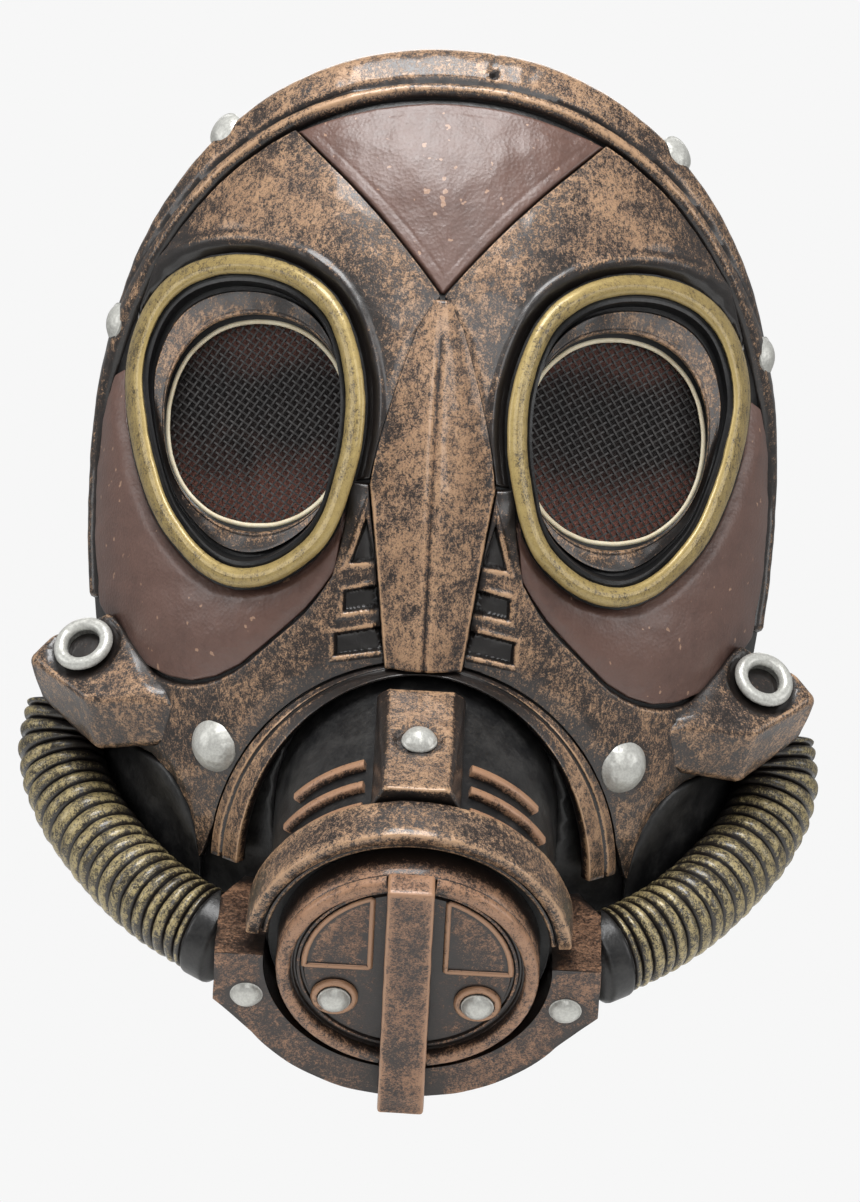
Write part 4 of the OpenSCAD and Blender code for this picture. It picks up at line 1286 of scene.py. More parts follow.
        def relief(x: float, z: float) -> float:
            """Long soft creases that run down the web."""
            return 0.55 * math.sin((x - 0.55 * z) * 0.42 + 2 * grain(x, 1, z, 20))

        return Plate(inner, outer, 1.3, 90, 34, round_a=1.4, round_b=1.4, pillow=0.6, relief=relief).mesh()

    def nose(self) -> bmesh.types.BMesh:
        """The ridge down the nose, with a crease along its middle and stepped sides."""
        def place(u: float, v: float) -> Vector:
            """Puts one point on the ridge."""
            z = mix(55.4, -52.4, v)
            across = 2 * crowded(u) - 1
            half = self.nose_half(z) + 0.3
            x, border = half * across, (1 - abs(across)) * half
            foot = mix(self.plate_h, self.nose_h(z) * 0.62, ease(2, -12, z))
            crease = 0.75 * math.exp(-((x / 0.75) ** 2)) * ease(48, 30, z)
            top = 0.9 * ease(0.35, 0.1, abs(across)) * ease(45, 10, z)
            lump = 0.35 * (grain(x, 0, z, 13) + 0.4 * grain(x, 9, z, 13 / 3))
            high = mix(self.nose_h(z) + 0.3, foot, ease(0.2, 0.97, abs(across))) + top * 0.6 + lump + 0.3
            return FORM.lift(x, z, high * roll(min(border, 56 - z), mix(0.9, 0.02, ease(-2, 14, z))) - 0.3 - crease)

        bm = grid(46, 110, place)
        face_out(bm, BEHIND)
        return bm


# ---- Goggles -----------------------------------------------------------------------------


@dataclass
class Goggles:
    """Both goggles: brass rim, black cup, copper bezel, pale edge, woven mesh and its lining."""

    shop: Workshop
    steps: int = 132
    pitch: float = 2.05
    thread_r: float = 0.31
    weave_turn: float = 33.0

    def build(self) -> None:
        """Builds every piece of both goggles."""
        for side in Side:
            tag = side.tag
            rows = (
                (self.rim(), "goggle_brass", Slot.BRASS, "goggle_rim", None),
                (self.cup(), "goggle_well", Slot.BLACK, "goggle_cup", None),
                (self.bezel(), "goggle_copper", Slot.COPPER, "goggle_bezel", lambda p: 0.95),
                (self.edge(), "mesh_binding", Slot.BARE, "mesh_edge", None),
            )
            for bm, name, slot, node, brush in rows:
                own = self.shop.wardrobe.binding if slot is Slot.BARE else None
                self.shop.piece(mirrored(bm, side), f"{name}_{tag}", slot, replaces=[f"{node}_{tag}"], brush=brush,
                                material=own)
            screen = self.shop.piece(mirrored(self.screen(), side), f"mesh_weave_{tag}", Slot.MESH,
                                     replaces=[f"mesh_screen_{tag}"])
            lining = self.shop.piece(mirrored(self.lining(), side), f"mesh_gauze_{tag}", Slot.GAUZE,
                                     replaces=[f"mesh_lining_{tag}"], wall=0.3)

    def loft(self, rows: int, place: Callable[[float, float], Vector], shut: bool = True) -> bmesh.types.BMesh:
        """Lofts a section round the goggle, with the angle in degrees and the section's share."""
        bm = grid(self.steps, rows, lambda u, v: place(360 * u, v))
        if shut:
            bmesh.ops.recalc_face_normals(bm, faces=bm.faces)
        return bm

    def rim(self) -> bmesh.types.BMesh:
        """A round brass bead, hammered unevenly."""
        def place(turn: float, v: float) -> Vector:
            """Puts one point on the bead."""
            a = math.tau * v
            dent = 1 + 0.07 * grain(math.cos(math.radians(turn)) * 40, v * 9, math.sin(math.radians(turn)) * 40, 7)
            reach = GOGGLE.bead / 2 * dent
            x, z = GOGGLE.ring(turn, reach * math.sin(a))
            return Vector((x, GOGGLE.ring_y(x, z) - reach * math.cos(a), z))

        return self.loft(18, place)

    def cup(self) -> bmesh.types.BMesh:
        """The black well behind the rim, with a thin ridge in its wall."""
        shares = [0, 0.04, 0.09, 0.15, 0.22, 0.3, 0.5, 0.75, 1, 1, 0.6, 0.15, 0, 0]
        tuck = 3.4

        def place(turn: float, v: float) -> Vector:
            """Puts one point on the well's face or, past the mesh, on its back."""
            k = v * (len(shares) - 1)
            i = min(int(k), len(shares) - 2)
            share = mix(shares[i], shares[i + 1], k - i)
            back = ease(8, 9, k) * ease(13, 12, k)
            c, s = math.cos(math.radians(turn)), math.sin(math.radians(turn))
            under = tuck * (ease(0.7, 0, k) + ease(12.3, 13, k))
            lifted = GOGGLE.cup(turn, share, -1.2 * back - 0.55 * under)
            return lifted + (1.2 * back + under) * Vector((c, 0, s))

        return self.loft(39, place)

    def bezel(self) -> bmesh.types.BMesh:
        """The copper ring on the well's floor: a sloping face between two lips."""
        section = [(0.25, 0.0), (0.26, 1.2), (0.29, 2.0), (0.35, 2.1), (0.45, 2.4), (0.55, 2.7), (0.65, 3.0), (0.73, 3.2),
                   (0.78, 3.6), (0.82, 3.7), (0.86, 3.2), (0.875, 1.4), (0.875, 0.0)]

        def place(turn: float, v: float) -> Vector:
            """Puts one point on the ring's section."""
            share, lift = along(section, v)
            wave = 0.3 * grain(math.cos(math.radians(turn)) * 30, share * 6, math.sin(math.radians(turn)) * 30, 6)
            return GOGGLE.cup(turn, share, lift + wave * min(1, lift))

        return self.loft(42, place)

    def edge(self) -> bmesh.types.BMesh:
        """The thin pale edge of bare latex round the mesh."""
        def place(turn: float, v: float) -> Vector:
            """Puts one point on the edge's round section."""
            a = math.tau * v
            x, z = GOGGLE.mesh(turn, 0.15 + 0.75 * math.cos(a) + 0.15 * grain(turn / 4, 0, 0, 3))
            return Vector((x, GOGGLE.mesh_y(x, z) + 0.3 - 0.9 * math.sin(a), z))

        return self.loft(10, place)

    def screen(self) -> bmesh.types.BMesh:
        """Two sets of threads that pass over and under each other."""
        cx, cz = GOGGLE.mesh_c
        bm = bmesh.new()
        reach = 36.0
        lines = int(reach / self.pitch)
        for across in (0, 1):
            turn = math.radians(self.weave_turn + 90 * across)
            way, side = Vector((math.cos(turn), math.sin(turn))), Vector((-math.sin(turn), math.cos(turn)))
            for k in range(-lines, lines + 1):
                inside = [t / 2 for t in range(-2 * lines, 2 * lines + 1)
                          if self._within(way * (t / 2 * self.pitch) + side * (k * self.pitch))]
                if len(inside) > 2:
                    self._thread(bm, way, side * (k * self.pitch), inside[0], inside[-1], (k + across) % 2, (cx, cz))
        bmesh.ops.remove_doubles(bm, verts=bm.verts, dist=1e-4)
        bmesh.ops.holes_fill(bm, edges=[e for e in bm.edges if e.is_boundary], sides=4)
        bmesh.ops.recalc_face_normals(bm, faces=bm.faces)
        return bm

    def _within(self, p: Vector) -> bool:
        """Whether a point of the mesh's plane is inside its bonded edge."""
        return p.length < GOGGLE.mesh_reach(math.degrees(math.atan2(p.y, p.x))) + 3.2

    def _thread(self, bm: bmesh.types.BMesh, way: Vector, start: Vector, low: float, high: float, odd: int,
                centre: Point) -> None:
        """Adds one thread.

        Args:
            bm: The mesh that it is added to.
            way: The thread's direction, in X and Z.
            start: How far its line is from the middle, in X and Z.
            low: Where it starts, in pitches.
            high: Where it ends.
            odd: Whether it passes over the even or the odd crossings.
            centre: The middle of the mesh.
        """
        steps = int((high - low) * 2)
        made = bmesh.ops.create_grid(bm, x_segments=4, y_segments=steps, size=0.5)
        side = Vector((-way.y, way.x))
        for vert in made["verts"]:
            a = math.tau * clamp(vert.co.x + 0.5) + math.pi / 4
            t = mix(low, high, clamp(vert.co.y + 0.5))
            over = 0.42 * math.cos(math.pi * (t + odd))
            flat = way * (t * self.pitch) + start + side * (self.thread_r * 1.15 * math.cos(a))
            x, z = centre[0] + flat.x, centre[1] + flat.y
            vert.co = (x, GOGGLE.mesh_y(x, z) + 2.2 + over + self.thread_r * math.sin(a), z)

    def lining(self) -> bmesh.types.BMesh:
        """The gauze behind the mesh, slightly puckered."""
        def place(u: float, v: float) -> Vector:
            """Puts one point on the gauze."""
            turn = 360 * u
            (cx, cz), (ex, ez) = GOGGLE.mesh_c, GOGGLE.mesh(turn, 3.4)
            x, z = mix(ex, cx, v), mix(ez, cz, v)
            return Vector((x, GOGGLE.mesh_y(x, z) + 3.35 + 0.15 * grain(x, 0, z, 7), z))

        bm = grid(72, 22, place)
        face_out(bm, BEHIND)
        return bm


# ---- Snout -------------------------------------------------------------------------------


@dataclass
class SnoutParts:
    """The arch, barrel, visor, bridge block, jaw and cap."""

    shop: Workshop

    def build(self) -> None:
        """Builds every piece of the snout."""
        # The lower snout's parts take the darker copy of the copper: painted shade.
        shop, shade_copper = self.shop, self.shop.wardrobe.shaded_copper
        shop.piece(self.arch(), "arch_relief", Slot.COPPER, replaces=["snout_arch"], wall=0.9,
                   brush=lambda p: 0.35 + 0.75 * ease(1.0, 1.13, math.hypot(p.x / 47.5, (p.z + 111) / 57)))
        shop.piece(self.barrel(), "barrel_tube", Slot.BLACK, replaces=["snout_barrel"])
        shop.piece(self.slats(), "barrel_louvres", Slot.BLACK, replaces=["barrel_slats"], material=shade_copper)
        # More paint towards the visor's top: painted light on its up-facing side.
        shop.piece(self.visor(), "visor_relief", Slot.COPPER, replaces=["brow_band"],
                   brush=lambda p: 0.85 + 0.4 * ease(-70, -45, p.z))
        shop.piece(self.bridge(), "bridge_relief", Slot.COPPER, replaces=["bridge_block"],
                   brush=lambda p: 1.15 - 0.75 * ease(8.6, 10.5, abs(p.x)))
        # More paint towards the jaw's top ledges: painted light where they face up.
        shop.piece(self.jaw(), "jaw_relief", Slot.COPPER, replaces=["jaw_housing"], material=shade_copper,
                   brush=lambda p: 0.87 + 0.13 * ease(-138, -119, p.z))
        # Less paint towards the cap face's bottom: painted shade, as the cap faces down.
        shop.piece(self.disc(), "cap_face", Slot.COPPER, replaces=["cap_disc"], material=shade_copper,
                   brush=lambda p: 0.7 + 0.45 * ease(-140, -105, p.z))
        # Less paint towards the cap ring's bottom: painted shade.
        shop.piece(self.rim(), "cap_ring", Slot.COPPER, replaces=["cap_rim"], material=shade_copper,
                   brush=lambda p: 0.85 + 0.6 * ease(-140, -100, p.z))
        shop.piece(self.windows(), "cap_window_frames", Slot.COPPER, replaces=["cap_windows"], material=shade_copper)
        # Less paint towards the bar's lower end: painted shade.
        shop.piece(self.bar(), "cap_bar_relief", Slot.COPPER, replaces=["cap_bar"], material=shade_copper,
                   brush=lambda p: 0.9 + 0.4 * ease(-125, -105, p.z))
        shop.piece(self.washers(), "cap_rivet_rings", Slot.COPPER, replaces=["cap_washers"], material=shade_copper)

    def arch(self) -> bmesh.types.BMesh:
        """The moulded arch round the snout, stepped like a stack of rings."""
        def place(u: float, v: float) -> Vector:
            """Puts one point on the arch."""
            turn, v = 180 * (1 - u), crowded(v)
            a, b = SNOUT.arch_inner(turn), SNOUT.arch_outer(turn)
            x, z = mix(a[0], b[0], v), mix(a[1], b[1], v)
            wide = math.dist(a, b)
            groove = 1.0 * bump(v * wide, wide * 0.62, 0.8)
            lump = 0.25 * grain(x, 6, z, 8)
            high = (mix(10, 3, v) + 0.8 + lump - groove) * roll((1 - v) * wide, 0.4) * roll(v * wide + 0.3, 1.3) - 0.8
            return FORM.lift(x, z, high)

        bm = grid(150, 36, place)
        face_out(bm, BEHIND)
        return bm

    def barrel(self) -> bmesh.types.BMesh:
        """The tube, cut off inside the mask along a slope."""
        bm = spun([(39, -100), (42, -100), (42, -70), (42, -40), (42, -14), (41.2, -13), (36.5, -13.1), (36.5, -14.4), (39, -15),
                   (39, -40), (39, -70), (39, -100)], 120)
        on_snout(bm)
        lean = math.radians(18.7)
        bmesh.ops.bisect_plane(bm, geom=[*bm.verts, *bm.edges, *bm.faces], plane_co=(0, -79, -47),
                               plane_no=(0, math.cos(lean), math.sin(lean)), clear_outer=True)
        rims = [e for e in bm.edges if e.is_boundary]
        bmesh.ops.bridge_loops(bm, edges=rims)
        bmesh.ops.recalc_face_normals(bm, faces=bm.faces)
        dense(bm, 4.0)
        return bm

    def slats(self) -> bmesh.types.BMesh:
        """Three louvres on each side of the barrel."""
        parts = []
        for i in range(3):
            back = -28.0 - 9 * i
            low, r = 24 + 6 * i, SNOUT.barrel_r
            section = [(r - 0.4, back), (r + 1.9, back), (r + 2.4, back + 0.5), (r + 2.4, back + 2.5),
                       (r + 1.9, back + 3), (r - 0.4, back + 3), (r - 0.4, back)]
            for start in (low, 111):
                parts.append(spun(section, 40, 69 - low, start))
        return on_snout(joined(parts))

    def visor(self) -> bmesh.types.BMesh:
        """The broad hood over the cap, with a thin ring inside its lip."""
        r, t = SNOUT.barrel_r, SNOUT.visor_t
        back, front = SNOUT.visor_front - SNOUT.visor_l, SNOUT.visor_front
        section = [(r - 0.3, back), (r + t - 1.2, back), (r + t - 0.3, back + 0.3), (r + t, back + 1.0),
                   (r + t, back + 4), (r + t, back + 7.5), (r + t, back + 11), (r + t, front - 0.9),
                   (r + t - 0.25, front - 0.25), (r + t - 0.9, front), (r + t - 2, front), (r + 2.4, front - 0.1),
                   (r + 1.9, front - 0.6), (r + 1.8, front - 2.4), (r + 1.3, front - 2.4), (r + 1.1, front - 1.4),
                   (r + 0.3, front - 1.2), (r - 0.3, front - 1.6), (r - 0.3, back)]
        bm = spun(section, 140, 168, 6)
        for vert in bm.verts:
            x, y, z = vert.co
            if math.hypot(x, y) > r + 2:
                vert.co += Vector((x, y, 0)).normalized() * 0.28 * grain(x, y, z, 8)
        return on_snout(bm)

    def bridge(self) -> bmesh.types.BMesh:
        """The block between nose and visor, with a ring sunk round its rivet."""
        r, front, back = SNOUT.barrel_r, -24.2, -72.0
        corners = []
        for z, high in ((front, 9.0), (back, 3.7)):
            corners += [(9.6, r + high, z), (-9.6, r + high, z), (13.1, r + 1, z), (-13.1, r + 1, z), (13.1, r - 3, z),
                        (-13.1, r - 3, z)]
        bm = bmesh.new()
        for c in corners:
            bm.verts.new(c)
        bmesh.ops.convex_hull(bm, input=bm.verts)
        bmesh.ops.dissolve_limit(bm, angle_limit=math.radians(4), verts=bm.verts, edges=bm.edges)
        round_corners(bm, 0.8, 20)
        dense(bm, 1.6)
        for vert in bm.verts:
            x, y, z = vert.co
            if y > r + 2:
                vert.co.y += 0.25 * grain(x, y, z, 7) - 0.8 * bump(math.hypot(x, z + 48.0), 6.4, 1.3)
        return on_snout(bm)

    def jaw(self) -> bmesh.types.BMesh:
        """The housing round the barrel's lower half, with flat ledges that run back at both sides."""
        half, r, hole = SNOUT.jaw_half_w, SNOUT.jaw_r, SNOUT.barrel_r + 0.25
        outer = [(-half, SNOUT.jaw_top), (-half, -17.0)]
        outer += [(r * math.cos(math.radians(214 + 112 * k / 40)), r * math.sin(math.radians(214 + 112 * k / 40)))
                  for k in range(41)]
        outer += [(half, -17.0), (half, SNOUT.jaw_top)]
        inner = [(hole * math.cos(math.radians(2.7 - 185.4 * k / 60)), hole * math.sin(math.radians(2.7 - 185.4 * k / 60)))
                 for k in range(61)]
        bm = extruded(outer + inner, SNOUT.jaw_back, SNOUT.jaw_front)
        lean = math.radians(SNOUT.ledge_drop)
        self._cut(bm, (0, SNOUT.jaw_top, SNOUT.jaw_front), (0, math.cos(lean), -math.sin(lean)))
        on_snout(bm)
        self._cut(bm, (0, 0, SNOUT.arch_c - 0.6), (0, 0, 1))
        round_corners(bm, 0.9, 40, 2)
        bmesh.ops.triangulate(bm, faces=[f for f in bm.faces if len(f.verts) > 4])
        dense(bm, 2.6)
        for vert in bm.verts:
            x, y, z = vert.co
            vert.co += vert.normal * 0.22 * grain(x, y, z, 9)
        return bm

    def _cut(self, bm: bmesh.types.BMesh, at: Sequence[float], outward: Sequence[float]) -> None:
        """Cuts off what lies beyond a plane and closes the cut."""
        cut = bmesh.ops.bisect_plane(bm, geom=[*bm.verts, *bm.edges, *bm.faces], plane_co=at, plane_no=outward,
                                     clear_outer=True)
        rims = [g for g in cut["geom_cut"] if isinstance(g, bmesh.types.BMEdge)]
        bmesh.ops.holes_fill(bm, edges=rims, sides=0)
        bmesh.ops.recalc_face_normals(bm, faces=bm.faces)

    def disc(self) -> bmesh.types.BMesh:
        """The cap's face with two turned grooves near its edge."""
        face = SNOUT.face - 0.15
        profile = [(0, face), (4, face), (8, face), (12, face), (16, face), (20, face), (24, face), (28, face),
                   (30.2, face), (30.6, face - 0.8), (31.2, face - 0.8), (31.6, face), (32.4, face), (32.8, face - 0.7),
                   (33.3, face - 0.7), (33.7, face), (38, face), (38.5, face - 0.6), (38.5, -6), (38.5, -12.8),
                   (20, -12.8), (0, -12.8)]
        bm = spun(profile, 120)
        for vert in bm.verts:
            x, y, z = vert.co
            if z > -2 and math.hypot(x, y) < 30:
                vert.co.z += 0.18 * grain(x, y, 0, 9)
        return on_snout(bm)

    def rim(self) -> bmesh.types.BMesh:
        """The raised ring round the cap's face, broken by the bar."""
        face = SNOUT.face
        section = [(34.1, face), (34.2, 0.4), (34.8, 1.3), (35.7, 1.65), (37.3, 1.6), (38.2, 0.9), (38.5, -0.3),
                   (38.5, face), (34.1, face)]
        gap = math.degrees(math.asin((SNOUT.bar_w / 2 + 0.2) / 36.3))
        return on_snout(joined([spun(section, 70, 180 - 2 * gap, start + gap) for start in (-90, 90)]))

    def windows(self) -> bmesh.types.BMesh:
        """A raised outline in each upper quarter of the face."""
        parts = []
        for side in Side:
            left, low, r = SNOUT.bar_w / 2 + 4.2, -0.2, 30.3
            start, end = math.asin(low / r), math.acos(left / r)
            arc = [(r * math.cos(mix(start, end, k / 12)), r * math.sin(mix(start, end, k / 12))) for k in range(13)]
            outline = [Vector((x, y, 0)) for x, y in arc]
            outline += [outline[-1].lerp(Vector((left, low, 0)), k / 8) for k in range(1, 9)]
            outline += [outline[-1].lerp(outline[0], k / 8) for k in range(1, 9)]

            def place(u: float, v: float, line: Sequence[Vector] = outline) -> Vector:
                """Puts one point on the bead."""
                ahead = (along(line, (v + 0.012) % 1) - along(line, (v - 0.012) % 1)).normalized()
                across = ahead.cross(Vector((0, 0, 1)))
                a = math.tau * u
                return along(line, v % 1) + across * 0.85 * math.cos(a) + Vector((0, 0, SNOUT.face + 0.6 * math.sin(a)))

            parts.append(mirrored(grid(8, 90, place), side))
        whole = joined(parts)
        bmesh.ops.recalc_face_normals(whole, faces=whole.faces)
        return on_snout(whole)

    def bar(self) -> bmesh.types.BMesh:
        """The deep bar down the middle of the cap, with a sunken panel in its front."""
        low = SNOUT.bar_top - SNOUT.bar_l
        bm = block((SNOUT.bar_w, SNOUT.bar_l, SNOUT.bar_t),
                   (0, SNOUT.bar_top - SNOUT.bar_l / 2, SNOUT.face + SNOUT.bar_t / 2))
        round_corners(bm, 1.0, 30)
        dense(bm, 2.0)
        for vert in bm.verts:
            x, y, z = vert.co
            vert.co += vert.normal * 0.15 * grain(x, y, z, 6)
            vert.co.z -= 2.4 * ease(low + 12, low, y) * ease(0, 7, z)
        return on_snout(bm)

    def washers(self) -> bmesh.types.BMesh:
        """A rounded ring under each of the cap's rivets."""
        parts = []
        for side in Side:
            section = [(4.9, SNOUT.face), (4.9, SNOUT.face + 1.1), (5.4, SNOUT.face + 1.4), (6.4, SNOUT.face + 1.3),
                       (7.0, SNOUT.face + 0.7), (7.0, SNOUT.face), (4.9, SNOUT.face)]
            bm = spun(section, 48)
            bmesh.ops.translate(bm, vec=(21 * side.value, -12.5, 0), verts=bm.verts)
            parts.append(bm)
        return on_snout(joined(parts))


# ---- Ears, hoses and rivets --------------------------------------------------------------


@dataclass
class EarParts:
    """The ear blocks with their eyelets, and the ribbed hoses down to the jaw."""

    shop: Workshop
    pitch: float = 34.0
    yaw: float = 22.0
    bore: float = 11.0
    outer: float = 18.0
    length: float = 10.0
    hose_r: float = 13.1
    ribs: int = 23
    corners: tuple[tuple[float, float, float], ...] = (
        (82, -64, 107), (95, -42, 86), (112, -50, 84), (119, -57, 85), (100, -68, 103), (97, -83, 93), (115, -69, 76),
        (86, -80, 99), (112, -51, 57), (118, -58, 55), (113, -70, 54), (97, -83, 60), (84, -64, 70), (94, -44, 60))
    route: tuple[tuple[float, float, float], ...] = (
        (107, 62, -72), (108.6, 66, -86), (102.6, 76, -101), (91.5, 91, -114), (80, 105, -124), (68.5, 114, -131),
        (60, 118, -135))

    @property
    def on_ear(self) -> Matrix:
        """The matrix of the block's sloping face, with +Z out of it."""
        return (Matrix.Translation((102.2, FORM.temple_y - 90.2, -52.5)) @ Matrix.Rotation(math.radians(self.yaw), 4, "Z")
                @ Matrix.Rotation(math.radians(90 - self.pitch), 4, "X"))

    def hose_at(self, share: float) -> Vector:
        """A point of the hose's middle line."""
        x, behind, z = on_curve(self.route, share)
        return Vector((x, FORM.temple_y - behind, z))

    def build(self) -> None:
        """Builds both sides."""
        for side in Side:
            tag = side.tag
            rows = (
                (self.block(), "ear_relief", Slot.COPPER, "ear_block", lambda p: 0.85, 0.0),
                (self.eyelet(), "eyelet_ring", Slot.SILVER, "eyelet", None, 0.0),
                (self.hose(), "hose_ribbed", Slot.BRASS, "hose", lambda p: 0.8, 1.2),
            )
            for bm, name, slot, node, brush, wall in rows:
                own = self.shop.wardrobe.hose_brass if slot is Slot.BRASS else None
                self.shop.piece(mirrored(bm, side), f"{name}_{tag}", slot, replaces=[f"{node}_{tag}"], brush=brush,
                                wall=wall, material=own)
        cuffs = joined([mirrored(self.cuff(), side) for side in Side])
        self.shop.piece(cuffs, "hose_collars", Slot.BLACK, replaces=["hose_cuffs"])

    def block(self) -> bmesh.types.BMesh:
        """The faceted block with soft edges and a round seat for the eyelet."""
        bm = bmesh.new()
        for x, z, front in self.corners:
            bm.verts.new((x, FORM.temple_y - front, z))
        for x, z in ((71, -67), (73, -80)):
            bm.verts.new(FORM.lift(x, z, 2.2))
        bmesh.ops.convex_hull(bm, input=bm.verts)
        bmesh.ops.delete(bm, geom=[v for v in bm.verts if not v.link_faces], context="VERTS")
        bmesh.ops.dissolve_limit(bm, angle_limit=math.radians(9), verts=bm.verts, edges=bm.edges)
        round_corners(bm, 1.5, 12)
        bmesh.ops.triangulate(bm, faces=bm.faces)
        dense(bm, 2.0)
        seat, axis = self.on_ear.translation, self.on_ear.to_3x3() @ Vector((0, 0, 1))
        for vert in bm.verts:
            x, y, z = vert.co
            away = vert.co - seat
            off = (away - axis * away.dot(axis)).length
            if away.dot(axis) > -3:
                vert.co -= axis * (1.0 * bump(off, 10.4, 1.8) + max(0, away.dot(axis) + 1.2) * ease(10.5, 8, off))
            vert.co += vert.normal * 0.3 * grain(x, y, z, 9)
        return bm

    def eyelet(self) -> bmesh.types.BMesh:
        """A rolled metal-look ring round a dark bore."""
        r, big = self.bore / 2, self.outer / 2
        mid = (r + big) / 2
        profile = [(r, -self.length + 2)]
        profile += [(r, 0.6)] + [(mid - 2.1 * math.cos(math.pi * k / 10), 1 + 2.1 * math.sin(math.pi * k / 10))
                                 for k in range(11)]
        profile += [(big - 0.2, 0.2), (big - 2.6, 0.1), (big - 2.6, -self.length + 2), (r, -self.length + 2)]
        bm = spun(profile, 56)
        bmesh.ops.transform(bm, matrix=self.on_ear, verts=bm.verts)
        return bm

    def hose(self) -> bmesh.types.BMesh:
        """The moulded hose with rounded ribs and narrow grooves."""
        def radius(share: float, turn: float) -> float:
            """Radius at a share of the hose, with each rib slightly its own."""
            rib = share * self.ribs
            wave = abs(math.sin(math.pi * rib)) ** 0.5
            rough = 0.25 * grain(rib * 2, math.cos(turn) * 3, math.sin(turn) * 3, 1.5)
            return self.hose_r - 2.0 * (1 - wave) + rough

        return swept(self.hose_at, radius, self.ribs * 12, 40)

    def cuff(self) -> bmesh.types.BMesh:
        """The black collar where the hose enters the jaw."""
        end = self.hose_at(1)
        ahead = (end - self.hose_at(0.96)).normalized()

        def path(share: float) -> Vector:
            """A point of the collar's middle line."""
            return end + ahead * mix(-1.5, 7, share)

        bm = swept(path, lambda share, turn: 13.9 * (0.9 + 0.1 * roll(min(share, 1 - share) * 8, 1.4)), 12, 40)
        rims = [e for e in bm.edges if e.is_boundary]
        bmesh.ops.holes_fill(bm, edges=rims, sides=0)
        keep = SNOUT.jaw_half_w + 0.1
        bmesh.ops.bisect_plane(bm, geom=[*bm.verts, *bm.edges, *bm.faces], plane_co=(keep, 0, 0), plane_no=(-1, 0, 0),
                               clear_outer=True)
        bmesh.ops.holes_fill(bm, edges=[e for e in bm.edges if e.is_boundary], sides=0)
        bmesh.ops.recalc_face_normals(bm, faces=bm.faces)
        return bm


@dataclass
class Rivets:
    """All the domed rivets."""

    shop: Workshop
    crown_at: tuple[Point, ...] = ((66, 103.4), (96, 45.6))
    cheek_at: Point = (59.5, -79)

    def build(self) -> None:
        """Builds the five sets of rivets."""
        add = self.shop.piece
        crown = [mirrored(stood(dome(11.5, 2.6), *p, 2.9), side) for side in Side for p in self.crown_at]
        add(joined(crown), "crown_rivet_domes", Slot.SILVER, replaces=["crown_rivets"])
        cheek = [mirrored(stood(dome(16, 5.2), *self.cheek_at, 2.7), side) for side in Side]
        add(joined(cheek), "cheek_rivet_domes", Slot.SILVER, replaces=["cheek_rivets"])
        add(self.on_block(), "bridge_rivet_dome", Slot.SILVER, replaces=["bridge_rivet"])
        for name, node, x, y, z in (("jaw_rivet_domes", "jaw_rivets", 46.8, -14.5, -2.3),
                                    ("cap_rivet_domes", "cap_rivets", 21.0, -12.5, 0.1)):
            parts = []
            for side in Side:
                bm = dome(9.6, 3.4)
                bmesh.ops.translate(bm, vec=(x * side.value, y, z), verts=bm.verts)
                parts.append(bm)
            add(on_snout(joined(parts)), name, Slot.SILVER, replaces=[node])

    def on_block(self) -> bmesh.types.BMesh:
        """The rivet on the bridge block's sloping top."""
        slope = math.atan(5.3 / 47.8)
        bm = dome(10.4, 4)
        turn = Matrix.Rotation(-math.pi / 2 - slope, 4, "X")
        seat = Matrix.Translation((0, SNOUT.barrel_r + 3.7, -71.0)) @ turn @ Matrix.Translation((0, -24, 0.2))
        bmesh.ops.transform(bm, matrix=seat, verts=bm.verts)
        return on_snout(bm)


# ---- Head strap --------------------------------------------------------------------------


